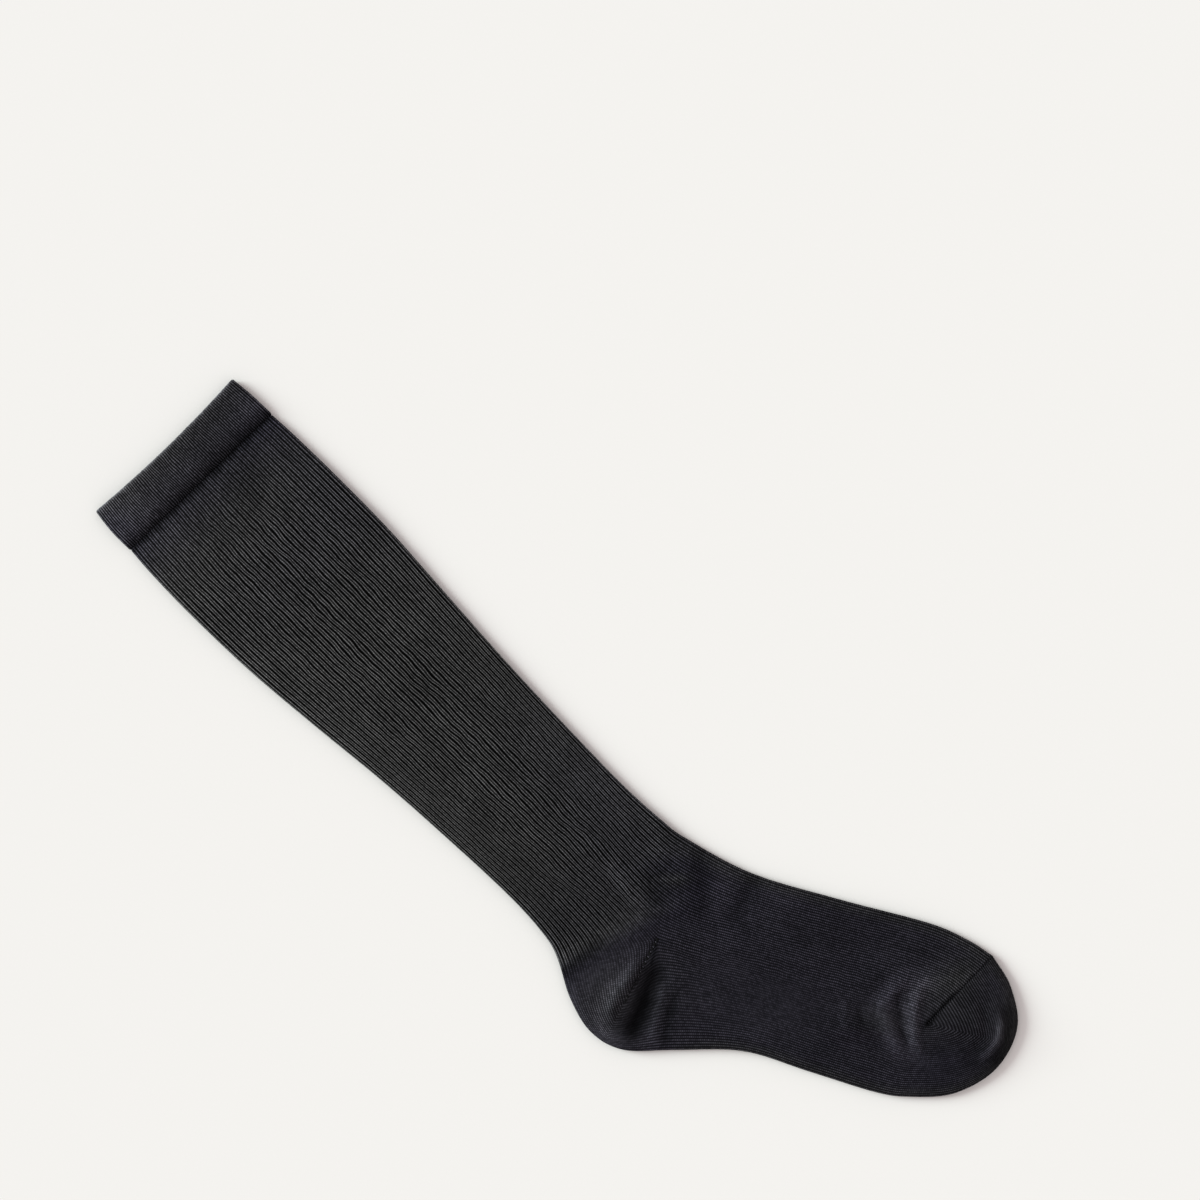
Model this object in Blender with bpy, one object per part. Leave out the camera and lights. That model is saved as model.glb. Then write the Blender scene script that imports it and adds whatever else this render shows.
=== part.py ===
"""Knee-high compression stocking, laid flat on its side.

The stocking is one knitted tube, built as the five stretches that its maker knits in turn:
a doubled welt (the cuff), a ribbed leg, a heel pocket, a plain foot and a toe pocket.
Each is a hollow wall of cloth. Seen from above, a stretch is a patch between four curves:
the fold at the back and sole, the fold at the shin and instep, and the knitted line at each
end. The upper and the lower cloth lie on each other and join round both folds. The lower
cloth is flat where it rests on the table.

Sizes in the tables are millimetres. x is measured across from the middle of the leg, towards
the shin, and down is measured from the top of the welt towards the toe.
"""

import math
from bisect import bisect_left
from collections import namedtuple

import bmesh
import bpy
from mathutils import Vector
from mathutils.geometry import intersect_point_line

MM = 0.001

# Cloth
SEAM_GAP = 0.3  # between neighbouring stretches
WELT_WALL = 2.2  # the welt is knitted double and folded over
LEG_WALL = 1.2  # between the ribs
PLAIN_WALL = 1.5  # heel, foot and toe
RIB_HEIGHT = 0.45
RIB_COUNT = 36  # across the upper face of the leg
RIB_CROWN = (0.3, 0.7)  # a crown's two edges, as shares of the way from furrow to furrow
RIB_CROWDING = 0.15  # towards the folds at the ankle, where fewer ribs show than at the calf

# Flattened tube
WELT_LOFT = 5.4  # height, outside to outside
LEG_LOFT = 3.9
FOOT_LOFT = 4.3
FOOT_LOFT_STARTS = 335.0  # down the leg
FOOT_LOFT_FULL = 395.0
FOLD_RUN = 3.4  # how far in from a fold the cloth reaches its full height
POCKET_RUN = 5.0  # added to that where a pocket is roundest
WELT_TOP_SAG = 2.0  # the middle of the top edge hangs this far below its corners

# How finely a fold's rounding is drawn, in degrees of its quarter turn
FOLD_STEPS = (0, 28, 52, 74)
CURVE_STEPS = 8  # straight runs between two marks of an outline

Mark = namedtuple("Mark", "name x down")

BACK_FOLD = [
    Mark("leg_top", -52.0, 26.7),
    Mark("below_welt", -53.2, 44.0),
    Mark("calf", -53.8, 73.0),
    Mark("under_calf", -52.7, 116.0),
    Mark("mid_leg", -49.2, 159.0),
    Mark("shank", -43.9, 212.0),
    Mark("low_shank", -40.7, 266.0),
    Mark("ankle", -39.6, 303.0),
    Mark("above_heel", -41.4, 329.0),
    Mark("heel_top", -45.2, 342.4),
    Mark("heel_back", -55.4, 362.2),
    Mark("heel_point", -60.2, 382.5),
    Mark("heel_under", -54.6, 401.5),
    Mark("heel_end", -35.2, 421.0),
    Mark("arch", -9.8, 447.4),
    Mark("sole", 7.4, 480.0),
    Mark("ball", 24.2, 512.0),
    Mark("toe_start", 35.4, 527.0),
    Mark("toe_under", 54.0, 543.0),
    Mark("toe_tip", 79.0, 549.5),
    Mark("toe_front", 102.5, 542.0),
    Mark("toe_top", 115.6, 524.0),
    Mark("toe_corner", 120.4, 505.6),
]

FRONT_FOLD = [
    Mark("leg_top", 52.5, 28.7),
    Mark("below_welt", 53.3, 46.0),
    Mark("calf", 53.8, 75.0),
    Mark("under_calf", 53.4, 116.0),
    Mark("mid_leg", 50.8, 159.0),
    Mark("shank", 47.6, 212.0),
    Mark("low_shank", 45.7, 266.0),
    Mark("ankle", 45.2, 303.0),
    Mark("instep_bend", 46.6, 329.0),
    Mark("foot_top", 48.9, 345.0),
    Mark("instep", 60.5, 383.0),
    Mark("mid_foot", 83.7, 426.0),
    Mark("toe_rise", 108.7, 469.0),
    Mark("toe_flat", 116.9, 490.0),
    Mark("toe_corner", 120.4, 505.6),
]

WELT_BACK = [
    Mark("welt_top", -50.6, -1.4),
    Mark("welt_middle", -52.2, 12.0),
    Mark("welt_end", -52.3, 26.7),
]

WELT_FRONT = [
    Mark("welt_top", 51.2, 0.2),
    Mark("welt_middle", 52.4, 14.0),
    Mark("welt_end", 52.8, 28.7),
]

ANKLE_POINT = Vector((0.4, 372.2))  # the heel's turning line ends here on each side
TOE_POINT = Vector((70.6, 506.3))  # the toe's turning line and its seam end here

# Hills and hollows of the upper cloth. bearing is the direction of a swell's long way, in
# degrees from straight down the leg towards the shin. reach and breadth are half sizes.
Swell = namedtuple("Swell", "name x down bearing reach breadth height")

SWELLS = [
    Swell("heel_fullness", -31.0, 384.0, -50.0, 30.0, 23.0, 2.3),
    Swell("heel_dimple", -33.0, 391.0, -68.0, 18.0, 5.4, -2.6),
    Swell("heel_cheek", -36.0, 379.5, -71.0, 15.0, 4.2, 1.2),
    Swell("sole_crease", -26.0, 407.0, -59.0, 11.0, 3.0, -0.7),
    Swell("ankle_crease", 43.0, 363.0, -41.0, 13.0, 4.6, -0.5),
    Swell("instep_crease", 52.0, 389.0, -68.0, 13.0, 4.4, -0.5),
    Swell("toe_fullness", 86.0, 521.0, 40.0, 27.0, 21.0, 2.5),
    Swell("toe_fold_back", 56.5, 488.0, -38.0, 16.0, 3.2, 0.9),
    Swell("toe_groove", 62.0, 493.0, -46.0, 15.0, 2.8, -0.9),
    Swell("toe_fold", 67.5, 499.0, -51.0, 15.0, 3.0, 1.0),
    Swell("toe_hollow", 91.0, 529.0, -50.0, 12.0, 3.6, -0.7),
    Swell("toe_crest", 94.0, 535.0, -55.0, 13.0, 3.2, 0.7),
]

# Where the folds are rounder, with the middle and the half size of each place
Round = namedtuple("Round", "name x down radius")

ROUNDS = [
    Round("heel", -36.0, 384.0, 36.0),
    Round("toe", 88.0, 523.0, 36.0),
]

# Rows of points along each stretch, and points across its upper and its lower cloth
Grid = namedtuple("Grid", "rows top low")

GRIDS = {
    "cuff": Grid(6, 14, 10),
    "leg": Grid(20, 0, 10),  # its ribs set the points of its upper cloth
    "heel": Grid(20, 20, 6),
    "foot": Grid(20, 24, 10),
    "toe": Grid(20, 18, 6),
}

Fabric = namedtuple("Fabric", "name red green blue roughness")

FABRICS = {
    "cuff": Fabric("doubled welt knit", 0.025, 0.025, 0.028, 0.9),
    "leg": Fabric("charcoal rib knit", 0.026, 0.026, 0.027, 0.92),
    "heel": Fabric("heel plain knit", 0.015, 0.014, 0.018, 0.92),
    "foot": Fabric("foot plain knit", 0.015, 0.014, 0.019, 0.92),
    "toe": Fabric("toe plain knit", 0.013, 0.012, 0.016, 0.92),
}


# Curves seen from above


def spline_point(before, start, end, after, share):
    """A point of the Catmull-Rom curve between start and end."""
    steady = 2 * start
    turn = (end - before) * share
    bend = (2 * before - 5 * start + 4 * end - after) * share**2
    twist = (3 * start - before - 3 * end + after) * share**3
    return (steady + turn + bend + twist) / 2


class Fold:
    """A smooth curve through named marks, measured along its length."""

    def __init__(self, marks):
        points = [Vector((mark.x, mark.down)) for mark in marks]
        before = 2 * points[0] - points[1]
        after = 2 * points[-1] - points[-2]
        points = [before, *points, after]
        self.line = [points[1]]
        self.travel = [0.0]
        self.place = {marks[0].name: 0.0}
        for index, mark in enumerate(marks[1:]):
            for step in range(1, CURVE_STEPS + 1):
                point = spline_point(*points[index : index + 4], step / CURVE_STEPS)
                self.travel.append(self.travel[-1] + (point - self.line[-1]).length)
                self.line.append(point)
            self.place[mark.name] = self.travel[-1]

    def at(self, travel):
        after = min(max(1, bisect_left(self.travel, travel)), len(self.line) - 1)
        run = self.travel[after] - self.travel[after - 1]
        share = (travel - self.travel[after - 1]) / run
        return self.line[after - 1].lerp(self.line[after], share)

    def between(self, first, last, trim_first=0.0, trim_last=0.0):
        """The stretch from one mark to another, read by a share from 0 to 1."""
        start = self.place[first] + trim_first
        end = self.place[last] - trim_last
        return lambda share: self.at(start + (end - start) * share)

    def distance(self, plan):
        nearest = math.inf
        for start, end in zip(self.line, self.line[1:]):
            foot, share = intersect_point_line(plan, start, end)
            if share <= 0:
                foot = start
            elif share >= 1:
                foot = end
            nearest = min(nearest, (foot - plan).length)
        return nearest


def straight(start, end):
    return lambda share: start.lerp(end, share)


def angled(start, corner, end):
    """A line that turns a corner halfway across."""

    def at(share):
        if share < 0.5:
            return start.lerp(corner, share * 2)
        return corner.lerp(end, share * 2 - 1)

    return at


def sagging(start, end, sag):
    """A line whose middle hangs below its ends."""

    def at(share):
        return start.lerp(end, share) + Vector((0, sag * 4 * share * (1 - share)))

    return at


class Patch:
    """A stretch of the stocking seen from above, between four curves.

    across runs from the back fold to the front fold, or to the point of a pocket. down runs
    from the first knitted line to the last.
    """

    def __init__(self, back, front, first, last):
        self.back = back
        self.front = front
        self.first = first
        self.last = last

    def at(self, across, down):
        sides = self.back(down).lerp(self.front(down), across)
        ends = self.first(across).lerp(self.last(across), down)
        top = self.back(0).lerp(self.front(0), across)
        bottom = self.back(1).lerp(self.front(1), across)
        return sides + ends - top.lerp(bottom, down)


# Height of the cloth


def hill(along, across):
    """1 in the middle of a swell, falling smoothly to nothing."""
    return math.exp(-along * along - across * across)


def swell_height(swell, plan):
    bearing = math.radians(swell.bearing)
    right = plan.x - swell.x
    below = plan.y - swell.down
    along = right * math.sin(bearing) + below * math.cos(bearing)
    aside = right * math.cos(bearing) - below * math.sin(bearing)
    return swell.height * hill(along / swell.reach, aside / swell.breadth)


def tube_loft(plan):
    """Height of the flattened leg and foot, outside to outside."""
    share = (plan.y - FOOT_LOFT_STARTS) / (FOOT_LOFT_FULL - FOOT_LOFT_STARTS)
    share = min(1.0, max(0.0, share))
    loft = LEG_LOFT + (FOOT_LOFT - LEG_LOFT) * share
    return loft + sum(swell_height(swell, plan) for swell in SWELLS)


def welt_loft(_plan):
    return WELT_LOFT


def fold_run(plan):
    """How far in from a fold the cloth reaches its full height."""
    run = FOLD_RUN
    for place in ROUNDS:
        away = math.hypot(plan.x - place.x, plan.y - place.down) / place.radius
        run += POCKET_RUN * hill(away * away, 0.0)
    return run


def crowd(share, down):
    """Move a rib towards its nearer fold, more so the further down the leg."""
    return share - RIB_CROWDING * down * math.sin(math.tau * share) / math.tau


# Walls of cloth


class Stretch:
    """One stretch of the tube: its patch, its folds, its cloth and how finely it is drawn."""

    def __init__(self, name, patch, folds, wall, loft, pocket=False, ribbed=False):
        self.name = name
        self.patch = patch
        self.folds = folds
        self.wall = wall
        self.loft = loft
        self.pocket = pocket
        self.ribbed = ribbed
        self.grid = GRIDS[name]

    def point(self, across, down, side, inset, lift=0.0):
        """A point of the outer face, or of the inner one with the wall as its inset.

        side is 1 on the upper cloth and -1 on the lower. lift raises a rib.
        """
        plan = self.patch.at(across, down)
        on_fold = across == 0.0 or (across == 1.0 and not self.pocket)
        edge = 0.0 if on_fold else min(fold.distance(plan) for fold in self.folds)
        lean = 1.0 - min(1.0, edge / fold_run(plan))
        half = self.loft(plan) / 2
        if inset:
            centre = self.patch.at(1.0 if self.pocket else 0.5, down)
            plan = plan + (centre - plan).normalized() * inset * lean
        height = half + side * (half - inset) * math.sqrt(1.0 - lean * lean)
        return Vector((plan.x, -plan.y, height + lift)) * MM

    def shares(self, down, count):
        """Shares across: close together round each fold, even between them."""
        back = self.patch.at(0.0, down)
        width = (self.patch.at(1.0, down) - back).length
        round_share = fold_run(back) / width
        round_part = [
            round_share * (1.0 - math.cos(math.radians(turn))) for turn in FOLD_STEPS
        ]
        last = 1.0 if self.pocket else 1.0 - round_share
        even_part = [
            round_share + (last - round_share) * step / count for step in range(count + 1)
        ]
        if self.pocket:
            return round_part + even_part
        return round_part + even_part + [1.0 - share for share in reversed(round_part)]

    def rib_shares(self, down):
        """Shares across at each furrow and each edge of a crown, with the lift there."""
        steps = [(0.0, 0.0)] + [(edge, RIB_HEIGHT) for edge in RIB_CROWN]
        row = []
        for rib in range(RIB_COUNT):
            for step, lift in steps:
                row.append((crowd((rib + step) / RIB_COUNT, down), lift))
        return row + [(1.0, 0.0)]

    def section(self, down, inset):
        """A row of points over the upper cloth and back along the lower cloth.

        Each comes with how far round it is: 0 at the first fold, 1 at the second and 2 at the
        first again. A pocket's row starts at its point, goes round its one fold and ends at
        its point below.
        """
        low = self.shares(down, self.grid.low)
        if inset:
            top = [(share, 0.0) for share in low]
        elif self.ribbed:
            top = self.rib_shares(down)
        else:
            top = [(share, 0.0) for share in self.shares(down, self.grid.top)]
        upper = [(share, self.point(share, down, 1, inset, lift)) for share, lift in top]
        lower = [(share, self.point(share, down, -1, inset)) for share in low]
        if self.pocket:
            upper = [(1.0 - share, point) for share, point in reversed(upper)]
            return upper + [(1.0 + share, point) for share, point in lower[1:]]
        return upper + [(2.0 - share, point) for share, point in reversed(lower[:-1])]


def add_face(cloth, corners):
    """A face between corners, unless two of them are the same point of a pocket."""
    corners = list(dict.fromkeys(corners))
    if len(corners) > 2:
        cloth.faces.new(corners)


def add_skin(cloth, stretch, inset):
    """Loft one face of the wall through its sections, and return its first and last row."""
    rows = []
    for row in range(stretch.grid.rows + 1):
        section = stretch.section(row / stretch.grid.rows, inset)
        rows.append([(round_to, cloth.verts.new(point)) for round_to, point in section])
    for upper, lower in zip(rows, rows[1:]):
        for index in range(len(upper) - 1):
            corners = upper[index], upper[index + 1], lower[index + 1], lower[index]
            add_face(cloth, [vertex for _round_to, vertex in corners])
    return rows[0], rows[-1]


def add_rim(cloth, outer, inner):
    """Triangles between two rows of unlike numbers of points, matched by how far round."""
    at_outer = at_inner = 0
    while at_outer < len(outer) - 1 or at_inner < len(inner) - 1:
        next_outer = outer[at_outer + 1][0] if at_outer < len(outer) - 1 else math.inf
        next_inner = inner[at_inner + 1][0] if at_inner < len(inner) - 1 else math.inf
        corners = [outer[at_outer][1], inner[at_inner][1]]
        if next_outer <= next_inner:
            at_outer += 1
            corners.append(outer[at_outer][1])
        else:
            at_inner += 1
            corners.append(inner[at_inner][1])
        add_face(cloth, corners)


def build_wall(stretch):
    """The stretch as one closed solid: an outer and an inner skin, joined at both ends."""
    cloth = bmesh.new()
    outer_rows = add_skin(cloth, stretch, 0.0)
    inner_rows = add_skin(cloth, stretch, stretch.wall)
    for outer, inner in zip(outer_rows, inner_rows):
        add_rim(cloth, outer, inner)
    bmesh.ops.remove_doubles(cloth, verts=cloth.verts, dist=0.001 * MM)
    bmesh.ops.recalc_face_normals(cloth, faces=cloth.faces)
    mesh = bpy.data.meshes.new(stretch.name)
    cloth.to_mesh(mesh)
    cloth.free()
    mesh.shade_smooth()
    mesh.set_sharp_from_angle(angle=math.radians(50))
    mesh.materials.append(make_fabric(FABRICS[stretch.name]))
    return bpy.data.objects.new(stretch.name, mesh)


def make_fabric(fabric):
    material = bpy.data.materials.new(fabric.name)
    material.use_nodes = True
    shader = material.node_tree.nodes["Principled BSDF"]
    shader.inputs["Base Color"].default_value = (fabric.red, fabric.green, fabric.blue, 1.0)
    shader.inputs["Roughness"].default_value = fabric.roughness
    shader.inputs["Metallic"].default_value = 0.0
    return material


# The stocking


def plan_stretches():
    """Cut the outline at the knitted lines, half a seam's gap to each side of them."""
    half = SEAM_GAP / 2
    above = Vector((0, -half))
    below = Vector((0, half))
    back = Fold(BACK_FOLD)
    front = Fold(FRONT_FOLD)
    welt_back = Fold(WELT_BACK)
    welt_front = Fold(WELT_FRONT)

    welt = Patch(
        welt_back.between("welt_top", "welt_end", trim_last=half),
        welt_front.between("welt_top", "welt_end", trim_last=half),
        None,
        None,
    )
    welt.first = sagging(welt.back(0), welt.front(0), WELT_TOP_SAG)
    welt.last = straight(welt.back(1), welt.front(1))

    leg = Patch(
        back.between("leg_top", "heel_top", half, half),
        front.between("leg_top", "foot_top", half, half),
        None,
        None,
    )
    leg.first = straight(leg.back(0), leg.front(0))
    leg.last = angled(leg.back(1), ANKLE_POINT + 1.2 * above, leg.front(1))

    heel_point = ANKLE_POINT + Vector((-1.5 * half, 0))
    heel = Patch(
        back.between("heel_top", "heel_end", half, half),
        lambda _share: heel_point,
        None,
        None,
    )
    heel.first = straight(heel.back(0), heel_point)
    heel.last = straight(heel.back(1), heel_point)

    foot = Patch(
        back.between("heel_end", "toe_start", half, half),
        front.between("foot_top", "toe_corner", half, half),
        None,
        None,
    )
    foot.first = angled(foot.back(0), ANKLE_POINT + 1.2 * below, foot.front(0))
    foot.last = angled(foot.back(1), TOE_POINT + 1.5 * above, foot.front(1))

    toe_point = TOE_POINT + 1.5 * below
    toe = Patch(
        back.between("toe_start", "toe_corner", half, half),
        lambda _share: toe_point,
        None,
        None,
    )
    toe.first = straight(toe.back(0), toe_point)
    toe.last = straight(toe.back(1), toe_point)

    folds = (back, front)
    return [
        Stretch("cuff", welt, (welt_back, welt_front), WELT_WALL, welt_loft),
        Stretch("leg", leg, folds, LEG_WALL, tube_loft, ribbed=True),
        Stretch("heel", heel, folds, PLAIN_WALL, tube_loft, pocket=True),
        Stretch("foot", foot, folds, PLAIN_WALL, tube_loft),
        Stretch("toe", toe, folds, PLAIN_WALL, tube_loft, pocket=True),
    ]


def main():
    for old in list(bpy.data.objects):
        bpy.data.objects.remove(old)
    stocking = bpy.data.collections.new("compression stocking")
    bpy.context.scene.collection.children.link(stocking)
    pieces = [build_wall(stretch) for stretch in plan_stretches()]
    corners = [Vector(corner) for piece in pieces for corner in piece.bound_box]
    lowest = Vector(map(min, zip(*corners)))
    highest = Vector(map(max, zip(*corners)))
    middle = (lowest + highest) / 2
    for piece in pieces:
        piece.location = (-middle.x, -middle.y, -lowest.z)
        stocking.objects.link(piece)


main()
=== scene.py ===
"""Knee-high compression stocking, laid flat: its knit, its stitches and a studio round it.

The stocking is one knitted tube. Each of its stretches is a closed shell of cloth whose points
follow the wales, the columns of stitches, so that ribs and fine wales can be raised along
them. Lengths in the tables are millimetres. x is measured across from the middle of the leg,
towards the shin, and down is measured from the top of the welt towards the toe.
"""

import math
from collections import namedtuple
from dataclasses import dataclass
from functools import partial

import bmesh
import bpy
import numpy as np
from mathutils import Matrix, Vector

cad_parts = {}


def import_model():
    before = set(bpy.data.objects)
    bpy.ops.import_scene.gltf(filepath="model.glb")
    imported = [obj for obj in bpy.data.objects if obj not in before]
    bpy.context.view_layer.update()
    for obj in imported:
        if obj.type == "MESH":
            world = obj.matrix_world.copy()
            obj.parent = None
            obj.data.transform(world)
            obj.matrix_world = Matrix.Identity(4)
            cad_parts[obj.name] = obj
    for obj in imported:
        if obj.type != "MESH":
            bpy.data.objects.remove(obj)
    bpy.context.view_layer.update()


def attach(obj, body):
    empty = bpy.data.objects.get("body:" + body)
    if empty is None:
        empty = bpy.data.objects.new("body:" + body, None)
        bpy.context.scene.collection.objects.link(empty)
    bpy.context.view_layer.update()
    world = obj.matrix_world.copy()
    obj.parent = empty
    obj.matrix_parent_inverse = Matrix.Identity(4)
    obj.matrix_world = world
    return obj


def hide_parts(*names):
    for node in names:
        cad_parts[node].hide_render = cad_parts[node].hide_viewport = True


bl_info = {
    "name": "Compression stocking",
    "version": (1, 0, 0),
    "blender": (4, 5, 0),
    "location": "View3D > Sidebar > Stocking",
    "description": "Knits a knee-high compression stocking and lays it flat in a studio",
    "category": "Add Mesh",
}

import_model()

MM = 0.001

# ------------------------------------------------------------------ outline and forms

# Marks along each fold of the flattened tube: a name, x and down
BACK_FOLD = [
    ("leg_top", -52.0, 26.7),
    ("below_welt", -53.2, 44.0),
    ("calf", -53.8, 73.0),
    ("under_calf", -52.7, 116.0),
    ("mid_leg", -49.2, 159.0),
    ("shank", -43.9, 212.0),
    ("low_shank", -40.7, 266.0),
    ("ankle", -39.6, 303.0),
    ("above_heel", -41.4, 329.0),
    ("heel_top", -45.2, 342.4),
    ("heel_back", -55.4, 362.2),
    ("heel_point", -60.2, 382.5),
    ("heel_under", -54.6, 401.5),
    ("heel_end", -35.2, 421.0),
    ("arch", -9.8, 447.4),
    ("sole", 7.4, 480.0),
    ("ball", 24.2, 512.0),
    ("toe_start", 35.4, 527.0),
    ("toe_under", 54.0, 543.0),
    ("toe_tip", 79.0, 549.5),
    ("toe_front", 102.5, 542.0),
    ("toe_top", 115.6, 524.0),
    ("toe_corner", 120.4, 505.6),
]

FRONT_FOLD = [
    ("leg_top", 52.5, 28.7),
    ("below_welt", 53.3, 46.0),
    ("calf", 53.8, 75.0),
    ("under_calf", 53.4, 116.0),
    ("mid_leg", 50.8, 159.0),
    ("shank", 47.6, 212.0),
    ("low_shank", 45.7, 266.0),
    ("ankle", 45.2, 303.0),
    ("instep_bend", 46.6, 329.0),
    ("foot_top", 48.9, 345.0),
    ("instep", 60.5, 383.0),
    ("mid_foot", 83.7, 426.0),
    ("toe_rise", 108.7, 469.0),
    ("toe_flat", 116.9, 490.0),
    ("toe_corner", 120.4, 505.6),
]

WELT_BACK = [
    ("welt_top", -50.6, -1.4),
    ("welt_middle", -52.2, 12.0),
    ("welt_end", -52.3, 26.7),
]

WELT_FRONT = [
    ("welt_top", 51.2, 0.2),
    ("welt_middle", 52.4, 14.0),
    ("welt_end", 52.8, 28.7),
]

ANKLE_POINT = (0.4, 372.2)  # the heel's turning line starts here
TOE_POINT = (70.6, 506.3)  # the toe's turning line and its seam start here
HEEL_TURN = 8.6  # along the outline from heel_point to the turning line's far end
TOE_TURN = 16.0  # and from toe_tip to that of the toe

# Bearings of the wales, in degrees from straight down the leg towards the shin. Each pair is
# the bearing at a turning point, and further out along a line that starts there.
LEG_INTO_HEEL, LEG_INTO_FOOT = (-6.0, -16.0), (4.0, 9.0)
INTO_HEEL, HEEL_TURN_IN = (-10.0, -16.0), (-28.0, -33.0)
HEEL_TURN_OUT, OUT_OF_HEEL = (60.0, 60.0), (40.0, 46.0)
FOOT_OFF_LEG, FOOT_OFF_HEEL = (26.0, 9.0), (32.0, 46.0)
FOOT_INTO_TOE, FOOT_INTO_SEAM = (36.0, 48.0), (6.0, -6.0)
INTO_TOE, TOE_TURN_IN = (40.0, 50.0), (82.0, 84.0)
TOE_TURN_OUT, TOE_INTO_SEAM = (154.0, 152.0), (167.0, 167.0)

# A swell is a smooth hill or hollow of the upper cloth. bearing is the direction of its long
# way, in degrees from straight down the leg towards the shin; reach and breadth are half sizes.
Swell = namedtuple("Swell", "name x down bearing reach breadth height")

SWELLS = [
    Swell("heel_fullness", -31, 384, -50, 30, 23, 2.3),
    Swell("ankle_crease", 34, 349, -75, 18, 6, -0.4),
    Swell("instep_crease", 48, 388, -80, 18, 6, -0.4),
    Swell("toe_fullness", 86, 521, 40, 27, 21, 2.5),
]

# A crease is a soft ridge or groove of the upper cloth that runs through points, given as x and
# down, and fades towards its ends. breadth is a half size.
Crease = namedtuple("Crease", "name breadth height run")

CREASES = [
    Crease("heel_cheek", 3.4, 1.8, [(-13, 374.5), (-29, 377.2), (-42, 380.6), (-51, 387.5)]),
    Crease("heel_dimple", 5.8, -3.4, [(-5.5, 380.8), (-18.5, 386.8), (-33.5, 393.9), (-50, 399)]),
    Crease("under_dimple", 1.9, 0.5, [
        (-12, 390.5), (-17, 394), (-26, 399.6), (-35, 405), (-42, 409),
    ]),
    Crease("sole_crease", 2.2, -0.75, [(-14, 399.5), (-23.5, 405.2), (-31.5, 410), (-38, 414)]),
    Crease("instep_fold", 2.4, 0.6, [(10, 326), (8.5, 335), (6.5, 344), (5.5, 356)]),
    Crease("shin_bend", 4.4, -0.6, [(52, 352), (46.7, 358), (40.5, 366), (33, 374)]),
    Crease("shin_bend_low", 4.2, -0.6, [(64, 385), (60, 386), (50.7, 390), (41, 394.5)]),
    Crease("ball_fold", 2.6, 0.4, [(50, 465), (42.5, 472), (37, 479)]),
    Crease("ball_groove", 2.4, -0.45, [(55, 472), (48.5, 478), (43, 486)]),
    Crease("toe_fold_back", 4.1, 1.4, [
        (86, 479), (71, 481), (61.5, 482.6), (56.5, 488.5), (52.5, 497), (49, 512),
    ]),
    Crease("toe_groove", 1.9, -0.6, [(75, 482), (68.5, 487), (63, 493), (58, 499.5), (54, 509)]),
    Crease("toe_fold", 3.2, 1.6, [
        (86, 488.5), (77, 492), (69.5, 497), (64, 502.5), (59, 509.5), (55, 519),
    ]),
    Crease("toe_hollow", 3.0, -0.9, [(99, 515), (95.5, 524), (88.5, 531), (78, 534), (68, 533)]),
    Crease("toe_edge", 2.4, 0.8, [(104, 520), (101, 529), (94.5, 536.5), (84, 540), (72, 539)]),
]

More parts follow.
